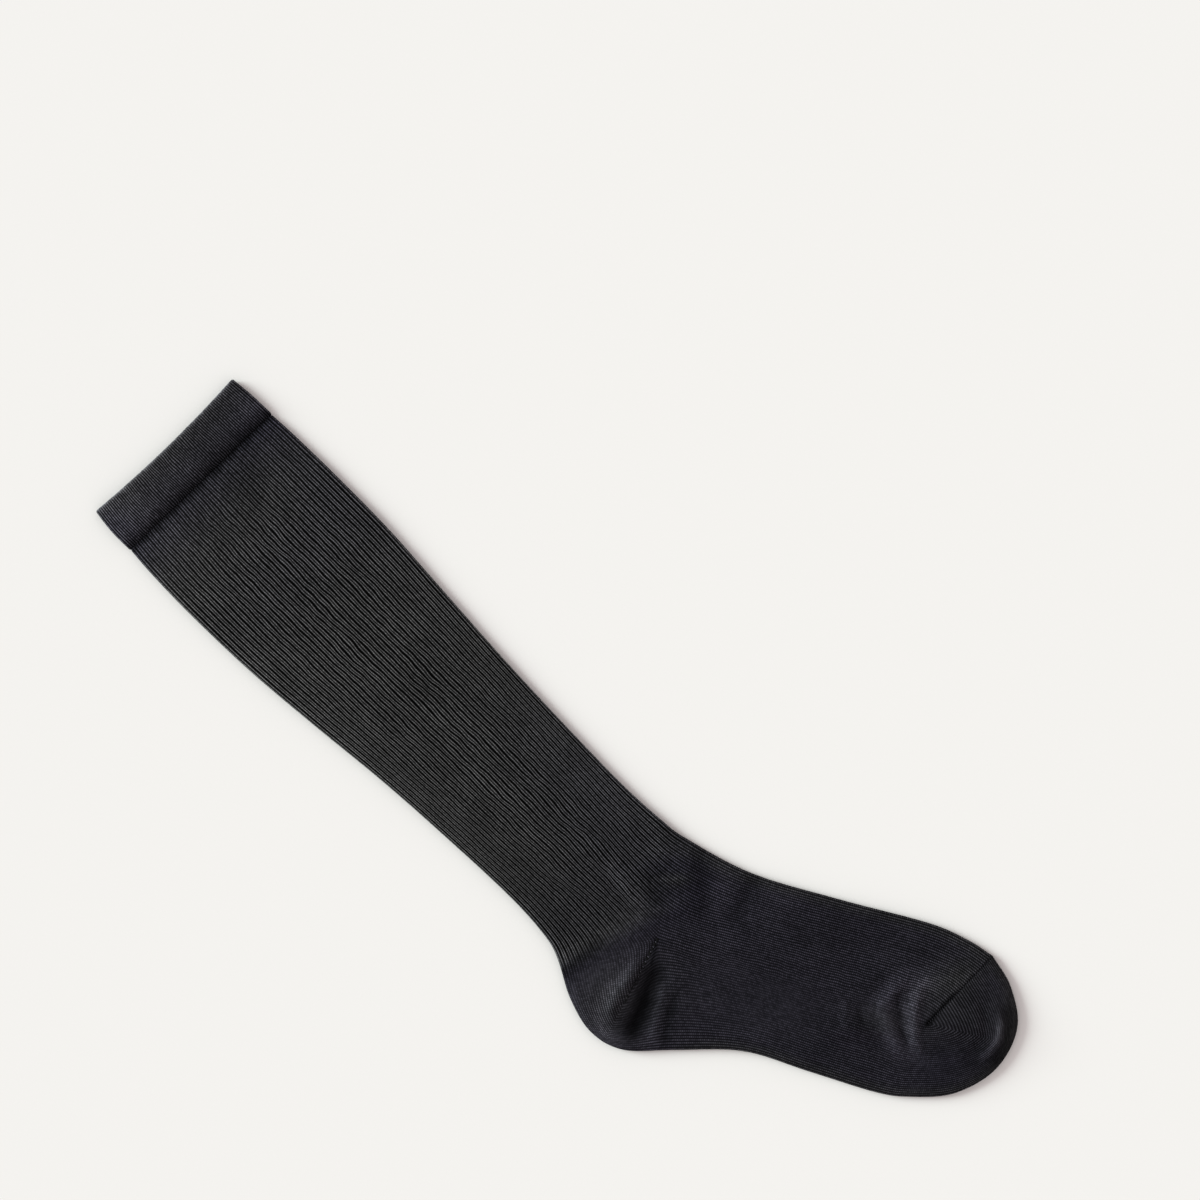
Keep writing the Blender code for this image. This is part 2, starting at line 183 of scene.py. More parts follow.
# Painted shade on hollows and sides turned from the key light, painted highlight on ridges and
# edges turned towards it, and in broad patches tone that differs over the knit. height is the
# change of tone.
PAINTED_LIGHT_AND_TONE = [
    Swell("back_of_welt", -50, 12, 0, 26, 24, 0.4),
    Swell("welt_corner", 46, 5, 90, 9, 6, -0.2),
    Swell("welt_shin_side", 51, 17, 0, 8, 5, 0.18),
    Swell("welt_top", -20, 5, 90, 8, 5, -0.14),
    Swell("welt_middle", 1, 16, 0, 8, 6, 0.14),
    Swell("shin_side_of_welt", 18, 12, 0, 26, 30, -0.2),
    Swell("below_welt", 17, 48, -62, 22, 9, -0.26),
    Swell("calf_back", -30, 104, 0, 70, 22, 0.12),
    Swell("shank", 10, 250, 0, 110, 40, -0.1),
    Swell("above_ankle", -28, 305, 0, 45, 14, -0.14),
    Swell("ankle", -4, 336, 90, 50, 22, -0.22),
    Swell("heel_top", -46, 351, 90, 11, 6, -0.2),
    Swell("above_heel", -43, 343, -14, 15, 5, 0.34),
    Swell("beside_gore", -10, 352, 90, 10, 5, -0.14),
    Swell("heel_edge", -57.5, 374, -12, 22, 5, 0.5),
    Swell("heel", -38, 378, -60, 34, 26, 0.2),
    Swell("heel_under", -24, 410, -60, 18, 7, -0.2),
    Swell("beside_dimple", -8, 396, -50, 10, 7, -0.14),
    Swell("heel_bottom", -43, 411, -45, 14, 5, 0.4),
    Swell("heel_end", -43, 404, 60, 12, 6, 0.34),
    Swell("dimple_side", -11, 387, -45, 6, 4, -0.25),
    Swell("dimple_end", -45, 388, 60, 8, 5, -0.15),
    Swell("under_heel", 4, 408, 60, 20, 9, 0.1),
    Swell("instep", 48, 374, -55, 34, 18, 0.28),
    Swell("ankle_front", 23, 357, 75, 24, 8, -0.34),
    Swell("shin_edge", 51, 347, 18, 12, 6, -0.25),
    Swell("shin_fold", 30, 348, 55, 13, 5, -0.2),
    Swell("above_shin_fold", 42, 339, 0, 8, 6, -0.16),
    Swell("instep_edge", 65, 407, 25, 15, 9, 0.42),
    Swell("arch_edge", -8, 437, 48, 14, 6, 0.2),
    Swell("arch", 16, 432, 60, 18, 12, -0.18),
    Swell("mid_sole", 50, 438, 0, 10, 8, -0.06),
    Swell("mid_arch", 25, 423, 90, 12, 7, -0.12),
    Swell("foot_middle", 50, 449, 0, 8, 6, 0.12),
    Swell("sole_middle", 37, 460, 70, 12, 8, -0.14),
    Swell("sole_front", 20, 478, 30, 12, 8, -0.12),
    Swell("instep_back", 10, 351, 0, 8, 5, 0.14),
    Swell("sole", 42, 437, 0, 9, 8, 0.12),
    Swell("mid_foot", 66, 432, 35, 18, 11, -0.14),
    Swell("ball", 26, 472, 0, 16, 9, -0.14),
    Swell("ball_fold", 41, 472, -45, 9, 4, 0.2),
    Swell("toe", 84, 524, 50, 30, 20, -0.04),
    Swell("toe_sole", 64, 533, 75, 17, 8, -0.32),
    Swell("toe_fold_top", 82, 490, 68, 16, 8, 0.42),
    Swell("toe_under_pit", 65, 516, -30, 10, 6, -0.22),
    Swell("toe_over_pit", 85, 511, 45, 5, 4, 0.15),
    Swell("toe_pit", 71, 505.6, 82, 3.6, 2, -0.7),
    Swell("over_toe_seam", 92, 497, 75, 16, 6, 0.26),
    Swell("under_toe_seam", 97, 513, 60, 8, 5, -0.25),
    Swell("toe_middle", 88, 525, -45, 6, 4, 0.24),
    Swell("toe_back", 76, 521, 90, 14, 7, -0.2),
    Swell("toe_groove_top", 68, 484.5, -50, 6, 3, 0.24),
    Swell("toe_shin_edge", 113, 489, 15, 14, 7, 0.16),
    Swell("toe_end", 81, 545, 80, 10, 5, -0.4),
    Swell("toe_sole_edge", 32, 508, 40, 12, 6, 0.1),
    Swell("beside_toe_fold", 47, 483, 35, 12, 7, -0.32),
    Swell("over_toe_fold", 66, 471, 80, 14, 5, -0.16),
]

# Painted shade and painted highlight along creases, hollows and ridges, whose height is a share of
# the tone that is added or taken
PAINTED_CREASE_LIGHT = [
    Crease("heel_cheek", 3.8, 0.72, [
        (-10, 370.5), (-24, 372.5), (-40, 375), (-48.5, 377.5),
        (-53, 383.5), (-56.5, 391), (-62, 401),
    ]),
    Crease("heel_dimple", 6.0, -0.72, [
        (-2, 377.5), (-12, 382.8), (-20, 386.5), (-28.4, 390.6),
        (-36, 393.9), (-44, 396), (-56, 397),
    ]),
    Crease("dimple_shadow", 6.0, -0.6, [
        (-21, 389.3), (-29, 393), (-36, 396.4), (-43, 398.4), (-52, 398),
    ]),
    Crease("gore_top", 0.9, -0.6, [(1.4, 371), (-3, 374.5), (-8, 377.5), (-15, 381.5)]),
    Crease("under_dimple", 2.0, 0.2, [
        (-13, 390), (-18, 393.5), (-27, 399), (-35.4, 404.4), (-44, 410),
    ]),
    Crease("sole_crease", 2.9, -0.55, [
        (-9, 395.5), (-14.5, 399.8), (-22.8, 405), (-31.9, 411.2), (-42, 418),
    ]),
    Crease("under_ribs", 3.8, -0.55, [(-58, 348), (-44, 350), (-30, 351), (-16, 352)]),
    Crease("instep_fold", 3.3, 0.6, [(11, 320), (9, 333), (7, 344), (8, 362)]),
    Crease("under_instep_fold", 2.2, -0.35, [(4, 356), (8, 362), (13, 367)]),
    Crease("ankle_front", 4.6, -0.3, [(25, 341), (19.4, 348), (14, 355), (8, 362)]),
    Crease("ankle_open", 3.2, 0.18, [(38, 332), (31.5, 340), (25, 343.5)]),
    Crease("ankle_wrinkle", 1.4, 0.45, [(37, 361), (30.3, 356), (25, 352), (19, 347)]),
    Crease("instep_upper", 5.2, -0.34, [
        (53, 349), (46.7, 357.5), (40.5, 365), (33, 372), (26, 378), (18, 384),
    ]),
    Crease("instep_open", 5.2, 0.2, [(60, 367), (50.5, 373.2), (41, 379), (31.4, 386), (24, 391)]),
    Crease("instep_lower", 4.6, -0.32, [
        (68, 383), (60.3, 387), (50.7, 390.5), (42, 391.5), (34, 392.5), (26, 395),
    ]),
    Crease("ball_fold", 2.2, 0.16, [(49, 464), (41.5, 471), (35, 479)]),
    Crease("ball_groove", 3.0, -0.2, [(56, 470), (47.5, 477.5), (41, 487)]),
    Crease("toe_fold_back", 4.4, 0.66, [
        (92, 480), (72, 479.5), (61.5, 481.5), (56.5, 487.5), (52.5, 496), (49.5, 505.5), (48, 518),
    ]),
    Crease("toe_groove", 2.0, -0.36, [
        (76, 481), (67.5, 486.3), (62, 493.5), (57, 500.5), (53, 511),
    ]),
    Crease("toe_fold", 3.9, 0.86, [
        (98, 484.5), (86.5, 488), (77, 491.5), (69, 496.2), (63.4, 501), (58, 508.5), (52.5, 523),
    ]),
    Crease("toe_hollow", 3.2, -0.24, [(101, 522), (95, 529.5), (88, 534.5), (78, 537), (64, 537)]),
    Crease("toe_crest", 2.1, 1.5, [
        (101, 527), (98.5, 531.5), (93.5, 536.7), (84, 540), (73, 539.5),
    ]),
    Crease("toe_rim", 3.4, -0.5, [(109, 522), (104, 533), (97, 540), (86, 544), (73, 544.5)]),
    Crease("seam_root", 1.4, -0.78, [
        (64, 507.5), (71, 506.3), (78, 505.6), (86, 505), (96, 504.6),
    ]),
    Crease("seam_lip", 1.2, 0.3, [(76, 503.2), (87, 502.8), (103, 503), (116, 503.8)]),
]

# Where the yarn shows more or less of its navy than the plain knit or the ribs do. Without any
# it is a neutral charcoal. height is the share added or taken.
NAVY = [
    Swell("welt", 0, 23, 90, 200, 22, 1),
    Swell("welt_groove", 46, 28, 90, 14, 4.5, 0.7),
    Swell("back_of_welt", -50, 12, 0, 16, 10, 0.6),
    Swell("below_welt_shin", 52, 60, 0, 70, 24, 0.4),
    Swell("ankle_shin", 32, 292, 0, 50, 28, 0.45),
    Swell("calf", 10, 92, 0, 24, 50, 0.3),
    Swell("ankle", -8, 338, 90, 70, 30, 0.42),
    Swell("ankle_front", 24, 359, 75, 20, 9, 0.3),
    Swell("ankle_wrinkle", 30, 357, 50, 9, 4, -0.8),
    Swell("instep", 53, 364, 20, 18, 7, -0.85),
    Swell("shin_fold", 30, 348, 55, 14, 6, 0.5),
    Swell("over_toe_seam", 102, 500, 80, 18, 9, -0.55),
    Swell("toe_rim", 100, 540, -50, 26, 7, -0.6),
    Swell("toe", 84, 516, 0, 30, 24, -0.4),
    Swell("toe_sole", 67, 528, 75, 20, 10, 0.3),
    Swell("toe_fold_back", 53, 486, 35, 14, 8, -0.3),
    Swell("heel", -38, 376, 0, 26, 34, -0.55),
]
PLAIN_NAVY = 1.0  # all over the plain knit, and none on the ribs

# Where the stitches are so close that they hardly show. height is the share of them lost.
EVEN = [
    Swell("arch", 22, 446, 40, 22, 14, 0.5),
    Swell("under_heel", -4, 414, 50, 40, 18, 0.4),
    Swell("toe_fold", 66, 495, 30, 20, 9, 0.4),
    Swell("over_heel", -32, 362, 90, 32, 11, 0.72),
    Swell("heel_dimple", -34, 391, -68, 26, 7, 0.7),
    Swell("heel_end", -52, 395, 50, 16, 10, 0.2),
    Swell("toe_rim", 100, 538, -50, 30, 9, 0.75),
    Swell("toe_fold_back", 52, 492, 0, 20, 7, 0.35),
    Swell("toe_sole", 60, 525, 45, 18, 12, 0.3),
]

# Where the folds are rounder, with the middle and the half size of each place
Round = namedtuple("Round", "name x down radius")

ROUNDS = [
    Round("heel", -36.0, 384.0, 36.0),
    Round("toe", 88.0, 523.0, 36.0),
]

# ------------------------------------------------------------------ sizes and colours


def length(name, text, millimetres):
    return bpy.props.FloatProperty(
        name=name, description=text, default=millimetres * MM, unit="LENGTH", precision=5
    )


def hex_colour(code):
    """A colour written as sRGB hex, turned linear."""
    shares = [int(code[start : start + 2], 16) / 255 for start in (1, 3, 5)]
    linear = [
        share / 12.92 if share <= 0.04045 else ((share + 0.055) / 1.055) ** 2.4
        for share in shares
    ]
    return (*linear, 1.0)


def colour(name, text, code):
    return bpy.props.FloatVectorProperty(
        name=name, description=text, default=hex_colour(code), subtype="COLOR", size=4
    )


class StockingCloth(bpy.types.PropertyGroup):
    """Thickness and height of the flattened tube."""

    welt_wall: length("Welt wall", "Thickness of the doubled welt", 2.2)
    leg_wall: length("Leg wall", "Thickness of the leg between its ribs", 1.2)
    plain_wall: length("Plain wall", "Thickness of heel, foot and toe", 1.5)
    welt_loft: length("Welt height", "Height of the flattened welt", 5.4)
    leg_loft: length("Leg height", "Height of the flattened leg", 3.9)
    foot_loft: length("Foot height", "Height of the flattened foot", 4.3)
    rib_height: length("Rib height", "How far a rib stands over its furrows", 0.5)
    wale_height: length("Wale height", "How far a fine wale stands over its gaps", 0.16)


class StockingColours(bpy.types.PropertyGroup):
    """Colours of the yarn, and of the painted shade between its wales and ribs."""

    rib_yarn: colour("Rib yarn", "Crowns of the leg's ribs", "#62616b")
    # Painted shade in the furrows between the ribs
    rib_furrow_shade: colour("Rib furrow", "Shade between the ribs", "#030303")
    plain_yarn: colour("Plain yarn", "Wales of heel, foot and toe", "#38363f")
    # Painted shade in the gaps between fine wales
    plain_gap_shade: colour("Plain gap", "Shade between fine wales", "#030304")
    welt_yarn: colour("Welt yarn", "Wales of the welt", "#4e4d54")


class StockingStudio(bpy.types.PropertyGroup):
    """The floor and the light."""

    floor: colour("Floor", "Paper that the stocking lies on", "#e8e6e3")
    key: colour("Key tint", "Cool window light", "#f2fffd")
    shade: colour("Fill tint", "Warm light that fills the shadows", "#fff7f8")
    key_strength: bpy.props.FloatProperty(
        name="Key light", description="Strength of the window light", default=4.2
    )
    fill_strength: bpy.props.FloatProperty(
        name="Fill light", description="Strength of the light from all round", default=0.7
    )


# ------------------------------------------------------------------ curves seen from above


CURVE_STEPS = 10  # straight runs between two points of a curve


def curve(points):
    """A smooth curve through points, as a line of short straight runs."""
    points = np.array(points)
    before = 2 * points[0] - points[1]
    after = 2 * points[-1] - points[-2]
    points = np.vstack([before, points, after])
    share = np.arange(CURVE_STEPS)[:, None] / CURVE_STEPS
    runs = []
    for a, b, c, d in zip(points, points[1:], points[2:], points[3:]):
        bend = (2 * a - 5 * b + 4 * c - d) * share**2
        twist = (3 * b - a - 3 * c + d) * share**3
        runs.append((2 * b + (c - a) * share + bend + twist) / 2)
    return np.vstack([*runs, points[-2]])


class Fold:
    """A fold of the tube: a curve through its marks, measured along its length."""

    def __init__(self, marks):
        self.line = curve([(x, down) for _name, x, down in marks])
        gaps = np.linalg.norm(np.diff(self.line, axis=0), axis=1)
        self.travel = np.concatenate([[0.0], np.cumsum(gaps)])
        self.place = {mark[0]: self.travel[CURVE_STEPS * i] for i, mark in enumerate(marks)}

    def at(self, travel):
        x = np.interp(travel, self.travel, self.line[:, 0])
        down = np.interp(travel, self.travel, self.line[:, 1])
        return np.stack([x, down], axis=-1)

    def between(self, first, last):
        start, end = self.place[first], self.place[last]
        return lambda share: self.at(start + (end - start) * share)

    def heading(self, travel):
        ahead = self.at(travel + 0.5) - self.at(travel - 0.5)
        return ahead / np.linalg.norm(ahead)

    def distance(self, plan):
        return beside(plan, self.line)[0]


def beside(plan, line):
    """Distance from each point to the nearest part of a line, and how far along that is."""
    flat = plan.reshape(-1, 2)
    starts, runs = line[:-1], np.diff(line, axis=0)
    squares = np.maximum((runs**2).sum(axis=1), 1e-12)
    travel = np.concatenate([[0.0], np.cumsum(np.sqrt(squares))])
    nearest, along = np.empty(len(flat)), np.empty(len(flat))
    for at in range(0, len(flat), 8192):
        away = flat[at : at + 8192, None] - starts
        share = np.clip((away * runs).sum(axis=2) / squares, 0.0, 1.0)
        gaps = ((away - share[..., None] * runs) ** 2).sum(axis=2)
        best = gaps.argmin(axis=1)
        row = np.arange(len(best))
        nearest[at : at + 8192] = np.sqrt(gaps[row, best])
        along[at : at + 8192] = travel[best] + share[row, best] * np.sqrt(squares[best])
    shape = plan.shape[:-1]
    return nearest.reshape(shape), along.reshape(shape) / travel[-1]


def blend(start, end, share):
    return start + (end - start) * share


def smooth(share):
    share = np.clip(share, 0.0, 1.0)
    return share * share * (3 - 2 * share)


def straight(start, end):
    return lambda share: blend(start, end, share)


def angled(start, corner, end):
    """A line that turns a corner halfway across."""

    def at(share):
        first = blend(start, corner, np.minimum(share * 2, 1.0))
        return first + (end - corner) * np.maximum(share * 2 - 1, 0.0)

    return at


def sagging(start, end, sag):
    """A line whose middle hangs below its ends."""
    return lambda share: blend(start, end, share) + (0.0, sag) * (4 * share * (1 - share))


def heading(bearing):
    angle = math.radians(bearing)
    return np.array([math.sin(angle), math.cos(angle)])


def unit(vectors):
    return vectors / np.maximum(np.linalg.norm(vectors, axis=-1, keepdims=True), 1e-9)


def fan(bearings, along_fold):
    """Headings on a line from a turning point to a fold, where they follow the fold."""
    inner, outer = heading(bearings[0]), heading(bearings[1])
    return lambda out: unit(
        blend(blend(inner, outer, smooth(out * 3)), along_fold, out**2)
    )


class Tube:
    """A stretch of tube from above: across from the back to the front fold, and down."""

    def __init__(self, back, front, first, last):
        self.back, self.front, self.first, self.last = back, front, first, last

    def at(self, across, down):
        across, down = across[..., None], down[..., None]
        sides = blend(self.back(down[..., 0]), self.front(down[..., 0]), across)
        ends = blend(self.first(across), self.last(across), down)
        top = blend(self.back(0.0), self.front(0.0), across)
        bottom = blend(self.back(1.0), self.front(1.0), across)
        return sides + ends - blend(top, bottom, down)


class BentTube(Tube):
    """A stretch of tube whose wales swing into given headings near its ends.

    Each end has the fans of headings of its back and front halves, and the share of the
    stretch that the swing takes.
    """

    END_STEP = 0.002  # share of the stretch over which the headings at its ends are measured

    def __init__(self, *lines, start=None, end=None):
        super().__init__(*lines)
        self.start, self.end = start, end

    def wanted(self, across, fans):
        out = np.abs(1 - 2 * across)
        return unit(blend(fans[0](out), fans[1](out), smooth((across - 0.46) / 0.1)))

    def at(self, across, down):
        plan = super().at(across, down)
        for swing, here, share in ((self.start, 0.0, down), (self.end, 1.0, 1 - down)):
            if swing is None:
                continue
            step = self.END_STEP if here == 0.0 else -self.END_STEP
            end = np.full_like(across, here)
            run = (super().at(across, end + step) - super().at(across, end)) / step
            reach = np.linalg.norm(run, axis=-1, keepdims=True)
            change = self.wanted(across[..., None], swing[:2]) * reach - run
            left = np.clip(1 - share / swing[2], 0.0, 1.0)
            amount = share * left**2 * np.sign(step)
            plan = plan + change * amount[..., None]
        return plan


class Pocket:
    """A heel or toe from above. Its rows turn round a point on its side.

    across runs from the fold to that point, and down from the pocket's first knitted line,
    past the turning line halfway, to its last. A wale has one arm before the turning line and
    one after it. opening spreads the wales on the turning line and on the last line, where
    they lie further apart near the point.
    """

    ROUNDNESS = 2.2

    def __init__(self, fold, travels, point, openings, bearings):
        self.fold, self.travels, self.openings = fold, travels, openings
        self.point = np.array(point)
        self.corners = [fold.at(travel) for travel in travels]
        along = [fold.heading(travel) for travel in travels]
        self.fans = [
            fan(bearing, along[place]) for bearing, place in zip(bearings, (0, 1, 1, 2))
        ]

    def arm(self, out, share, which):
        """A wale's arm: a cubic that leaves and arrives with its fans' headings."""
        start, end = [
            self.point + (corner - self.point) * (out * (1 + opening * (1 - out)))
            for corner, opening in list(zip(self.corners, self.openings))[which : which + 2]
        ]
        reach = np.linalg.norm(end - start, axis=-1, keepdims=True)
        leave, arrive = [fans(out) * reach for fans in self.fans[2 * which : 2 * which + 2]]
        turned = share**2 * (3 - 2 * share)
        swing = share * (1 - share)
        return blend(start, end, turned) + leave * swing * (1 - share) - arrive * swing * share

    def mitre(self, out, down):
        before = self.arm(out, np.clip(down * 2, 0.0, 1.0), 0)
        after = self.arm(out, np.clip(down * 2 - 1, 0.0, 1.0), 1)
        return np.where(down < 0.5, before, after)

    def at(self, across, down):
        out, down = 1.0 - across[..., None], down[..., None]
        travel = np.interp(down[..., 0], [0.0, 0.5, 1.0], self.travels)
        rounded = self.fold.at(travel) - self.mitre(np.ones_like(out), down)
        return self.mitre(out, down) + rounded * out**self.ROUNDNESS


BACK, FRONT = Fold(BACK_FOLD), Fold(FRONT_FOLD)
BACK_OF_WELT, FRONT_OF_WELT = Fold(WELT_BACK), Fold(WELT_FRONT)
WELT_TOP_SAG = 2.0

OUTLINE = np.vstack([BACK.line, FRONT.line, BACK_OF_WELT.line, FRONT_OF_WELT.line])
MIDDLE = (OUTLINE.min(axis=0) + OUTLINE.max(axis=0)) / 2

HEEL_END = BACK.at(BACK.place["heel_end"])
TOE_START = BACK.at(BACK.place["toe_start"])
TOE_CORNER = BACK.at(BACK.place["toe_corner"])
HEEL_TOP = BACK.at(BACK.place["heel_top"])
FOOT_TOP = FRONT.at(FRONT.place["foot_top"])

WELT = Tube(
    BACK_OF_WELT.between("welt_top", "welt_end"),
    FRONT_OF_WELT.between("welt_top", "welt_end"),
    sagging(BACK_OF_WELT.line[0], FRONT_OF_WELT.line[0], WELT_TOP_SAG),
    straight(BACK_OF_WELT.line[-1], FRONT_OF_WELT.line[-1]),
)
HEEL_TOP_RUN = BACK.heading(BACK.place["heel_top"])
HEEL_END_RUN = BACK.heading(BACK.place["heel_end"])
TOE_START_RUN = BACK.heading(BACK.place["toe_start"])
FOOT_TOP_RUN = FRONT.heading(FRONT.place["foot_top"])
SEAM_RUN = FRONT.heading(FRONT.place["toe_corner"] - 2.0)

LEG = BentTube(
    BACK.between("leg_top", "heel_top"),
    FRONT.between("leg_top", "foot_top"),
    straight(BACK.line[0], FRONT.line[0]),
    angled(HEEL_TOP, np.array(ANKLE_POINT), FOOT_TOP),
    end=(fan(LEG_INTO_HEEL, HEEL_TOP_RUN), fan(LEG_INTO_FOOT, FOOT_TOP_RUN), 0.16),
)
HEEL = Pocket(
    BACK,
    [
        BACK.place["heel_top"],
        BACK.place["heel_point"] + HEEL_TURN,
        BACK.place["heel_end"],
    ],
    ANKLE_POINT,
    (0.05, 0.85, 0.05),
    (INTO_HEEL, HEEL_TURN_IN, HEEL_TURN_OUT, OUT_OF_HEEL),
)
FOOT = BentTube(
    BACK.between("heel_end", "toe_start"),
    FRONT.between("foot_top", "toe_corner"),
    angled(HEEL_END, np.array(ANKLE_POINT), FOOT_TOP),
    angled(TOE_START, np.array(TOE_POINT), TOE_CORNER),
    start=(fan(FOOT_OFF_HEEL, HEEL_END_RUN), fan(FOOT_OFF_LEG, FOOT_TOP_RUN), 0.3),
    end=(fan(FOOT_INTO_TOE, TOE_START_RUN), fan(FOOT_INTO_SEAM, SEAM_RUN), 0.18),
)
TOE = Pocket(
    BACK,
    [
        BACK.place["toe_start"],
        BACK.place["toe_tip"] + TOE_TURN,
        BACK.place["toe_corner"],
    ],
    TOE_POINT,
    (0.0, 0.85, 0.3),
    (INTO_TOE, TOE_TURN_IN, TOE_TURN_OUT, TOE_INTO_SEAM),
)

# Lines that are drawn into the cloth: how far each pulls it down, how far to each side, and
# the share of its length where it has faded
Line = namedtuple("Line", "start end depth breadth fades")

GORE = Line(np.array(ANKLE_POINT), BACK.at(HEEL.travels[1]), 0.5, 1.0, 0.62)
TOE_GORE = Line(np.array(TOE_POINT), BACK.at(TOE.travels[1]), 0.1, 0.9, 0.8)
TOE_SEAM = Line(np.array(TOE_POINT), TOE_CORNER, 0.45, 0.5, 9.0)
RIBS_END = np.array([BACK.at(BACK.place["heel_top"] + 5.0), (-1.0, 359.0)])
RIBS_FADE = np.array([(-1.0, 359.0), FOOT_TOP - (0.0, 8.0)])
WELT_TOP = np.array([BACK_OF_WELT.line[0], FRONT_OF_WELT.line[0]])
WELT_END = np.array([BACK_OF_WELT.line[-1], FRONT_OF_WELT.line[-1]])

# ------------------------------------------------------------------ height of the cloth

FOLD_RUN = 3.4  # width of a fold's rounding
POCKET_RUN = 5.0  # added to that where a pocket is roundest
FOOT_LOFT_STARTS, FOOT_LOFT_FULL = 335.0, 395.0  # down the leg
WELT_ENDS = 27.7  # down the leg, at the middle of the welt's last row
WELT_DIP, WELT_DIP_REACH = 1.9, 5.0  # how far the welt is drawn down at its end, and from where
LEG_DIP, LEG_DIP_REACH = 0.6, 3.0  # the same of the leg, where it begins
LEG_SWELL, LEG_SWELL_SIZE = 0.22, 34.0  # soft waves of the leg and foot, and of the welt
WELT_SWELL, WELT_SWELL_SIZE = 0.25, 16.0
WAVE_SEED = 7  # each kind of wave adds its own number to it

# Lengths over which the ribs fade into plain knit, and how ribbed it is just below the welt
HEEL_RIB_FADE, INSTEP_RIB_FADE, TOP_RIB_FADE = 12.0, 36.0, 60.0
TOP_RIBS = 0.6

# Tone of the cloth, with its painted shade and painted highlight
BACK_FOLD_HIGHLIGHT, BACK_FOLD_HIGHLIGHT_REACH = 0.2, 6.5  # painted highlight along the leg's back fold, which rounds towards the key light
HIGHLIGHT_STARTS, HIGHLIGHT_ENDS = 20.0, 320.0  # down the leg
GORE_SHADE, SEAM_SHADE = 0.3, 0.84  # share of the tone that painted shade takes along the drawn-in gore and toe seam
GROOVE_SHADE = 0.74  # and the share that painted shade takes in the groove where the welt ends, which is ragged
GROOVE_ABOVE, GROOVE_BELOW = 5.4, 2.7  # how far the groove reaches to either side
RIM_HIGHLIGHT, RIM_HIGHLIGHT_REACH = 2.6, 0.95  # painted highlight along the welt's rounded top, which faces the key light
RIM_HIGHLIGHT_CORNER = 54.0  # the painted highlight is fainter near here, to either side

# Navy and stitches
NAVY_STARTS, MOST_NAVY = 290.0, 1.25  # down the leg, and where 1 is the plain knit's own hue
GRAZED, GRAZED_REACH = 0.7, 8.0  # share of the navy that grazing light takes beside a fold
EVEN_RIM, EVEN_RIM_REACH = 0.8, 1.4  # the welt's rounded top hides its stitches
MOST_EVEN = 0.85


def waves(plan, size, seed):
    """Soft, uneven waves of about one size, mostly between -1 and 1."""
    chance = np.random.default_rng(seed)
    total = np.zeros(plan.shape[:-1])
    for _wave in range(7):
        way = chance.uniform(0, math.tau)
        pitch = size * chance.uniform(0.7, 1.6)
        towards = np.array([math.cos(way), math.sin(way)]) * math.tau / pitch
        total += np.sin(plan @ towards + chance.uniform(0, math.tau))
    return total / 4


def swell_height(swell, plan):
    """Height of a swell: all of it in its middle, falling smoothly to nothing."""
    bearing = math.radians(swell.bearing)
    right, below = plan[..., 0] - swell.x, plan[..., 1] - swell.down
    along = right * math.sin(bearing) + below * math.cos(bearing)
    aside = right * math.cos(bearing) - below * math.sin(bearing)
    return swell.height * np.exp(-((along / swell.reach) ** 2) - (aside / swell.breadth) ** 2)


def crease_share(crease, plan):
    """How strongly a crease works: 1 on its line, and less beside it and towards its ends."""
    line = curve(crease.run)
    low, high = line.min(axis=0) - 3 * crease.breadth, line.max(axis=0) + 3 * crease.breadth
    near = ((plan > low) & (plan < high)).all(axis=-1)
    share = np.zeros(plan.shape[:-1])
    gap, along = beside(plan[near], line)
    ends = smooth(along * 4) * smooth((1 - along) * 4)
    share[near] = ends * np.exp(-((gap / crease.breadth) ** 2))
    return share


def fold_run(plan):
    """How far in from a fold the cloth reaches its full height."""
    run = np.full(plan.shape[:-1], FOLD_RUN)
    for place in ROUNDS:
        away = np.hypot(plan[..., 0] - place.x, plan[..., 1] - place.down) / place.radius
        run += POCKET_RUN * np.exp(-(away**4))
    return run


def drawn_in(plan, line):
    """How strongly a line draws the cloth in: 1 on it, and less to its sides and far end."""
    gap = beside(plan, np.array([line.start, line.end]))[0]
    run = line.end - line.start
    along = (plan - line.start) @ run / (run @ run)
    fade = 1 - smooth((along - line.fades * 0.6) / (line.fades * 0.4))
    return np.exp(-((gap / line.breadth) ** 2)) * fade


def past(plan, line):
    """Distance beyond a line across the stocking, further down counting as more."""
    along = unit(line[1] - line[0])
    return (plan - line[0]) @ np.array([-along[1], along[0]])


def under_top(plan):
    """Distance below the top edge of the welt, whose middle sags."""
    across = (plan[..., 0] - WELT_TOP[0, 0]) / (WELT_TOP[1, 0] - WELT_TOP[0, 0])
    return past(plan, WELT_TOP) - WELT_TOP_SAG * 4 * across * (1 - across)


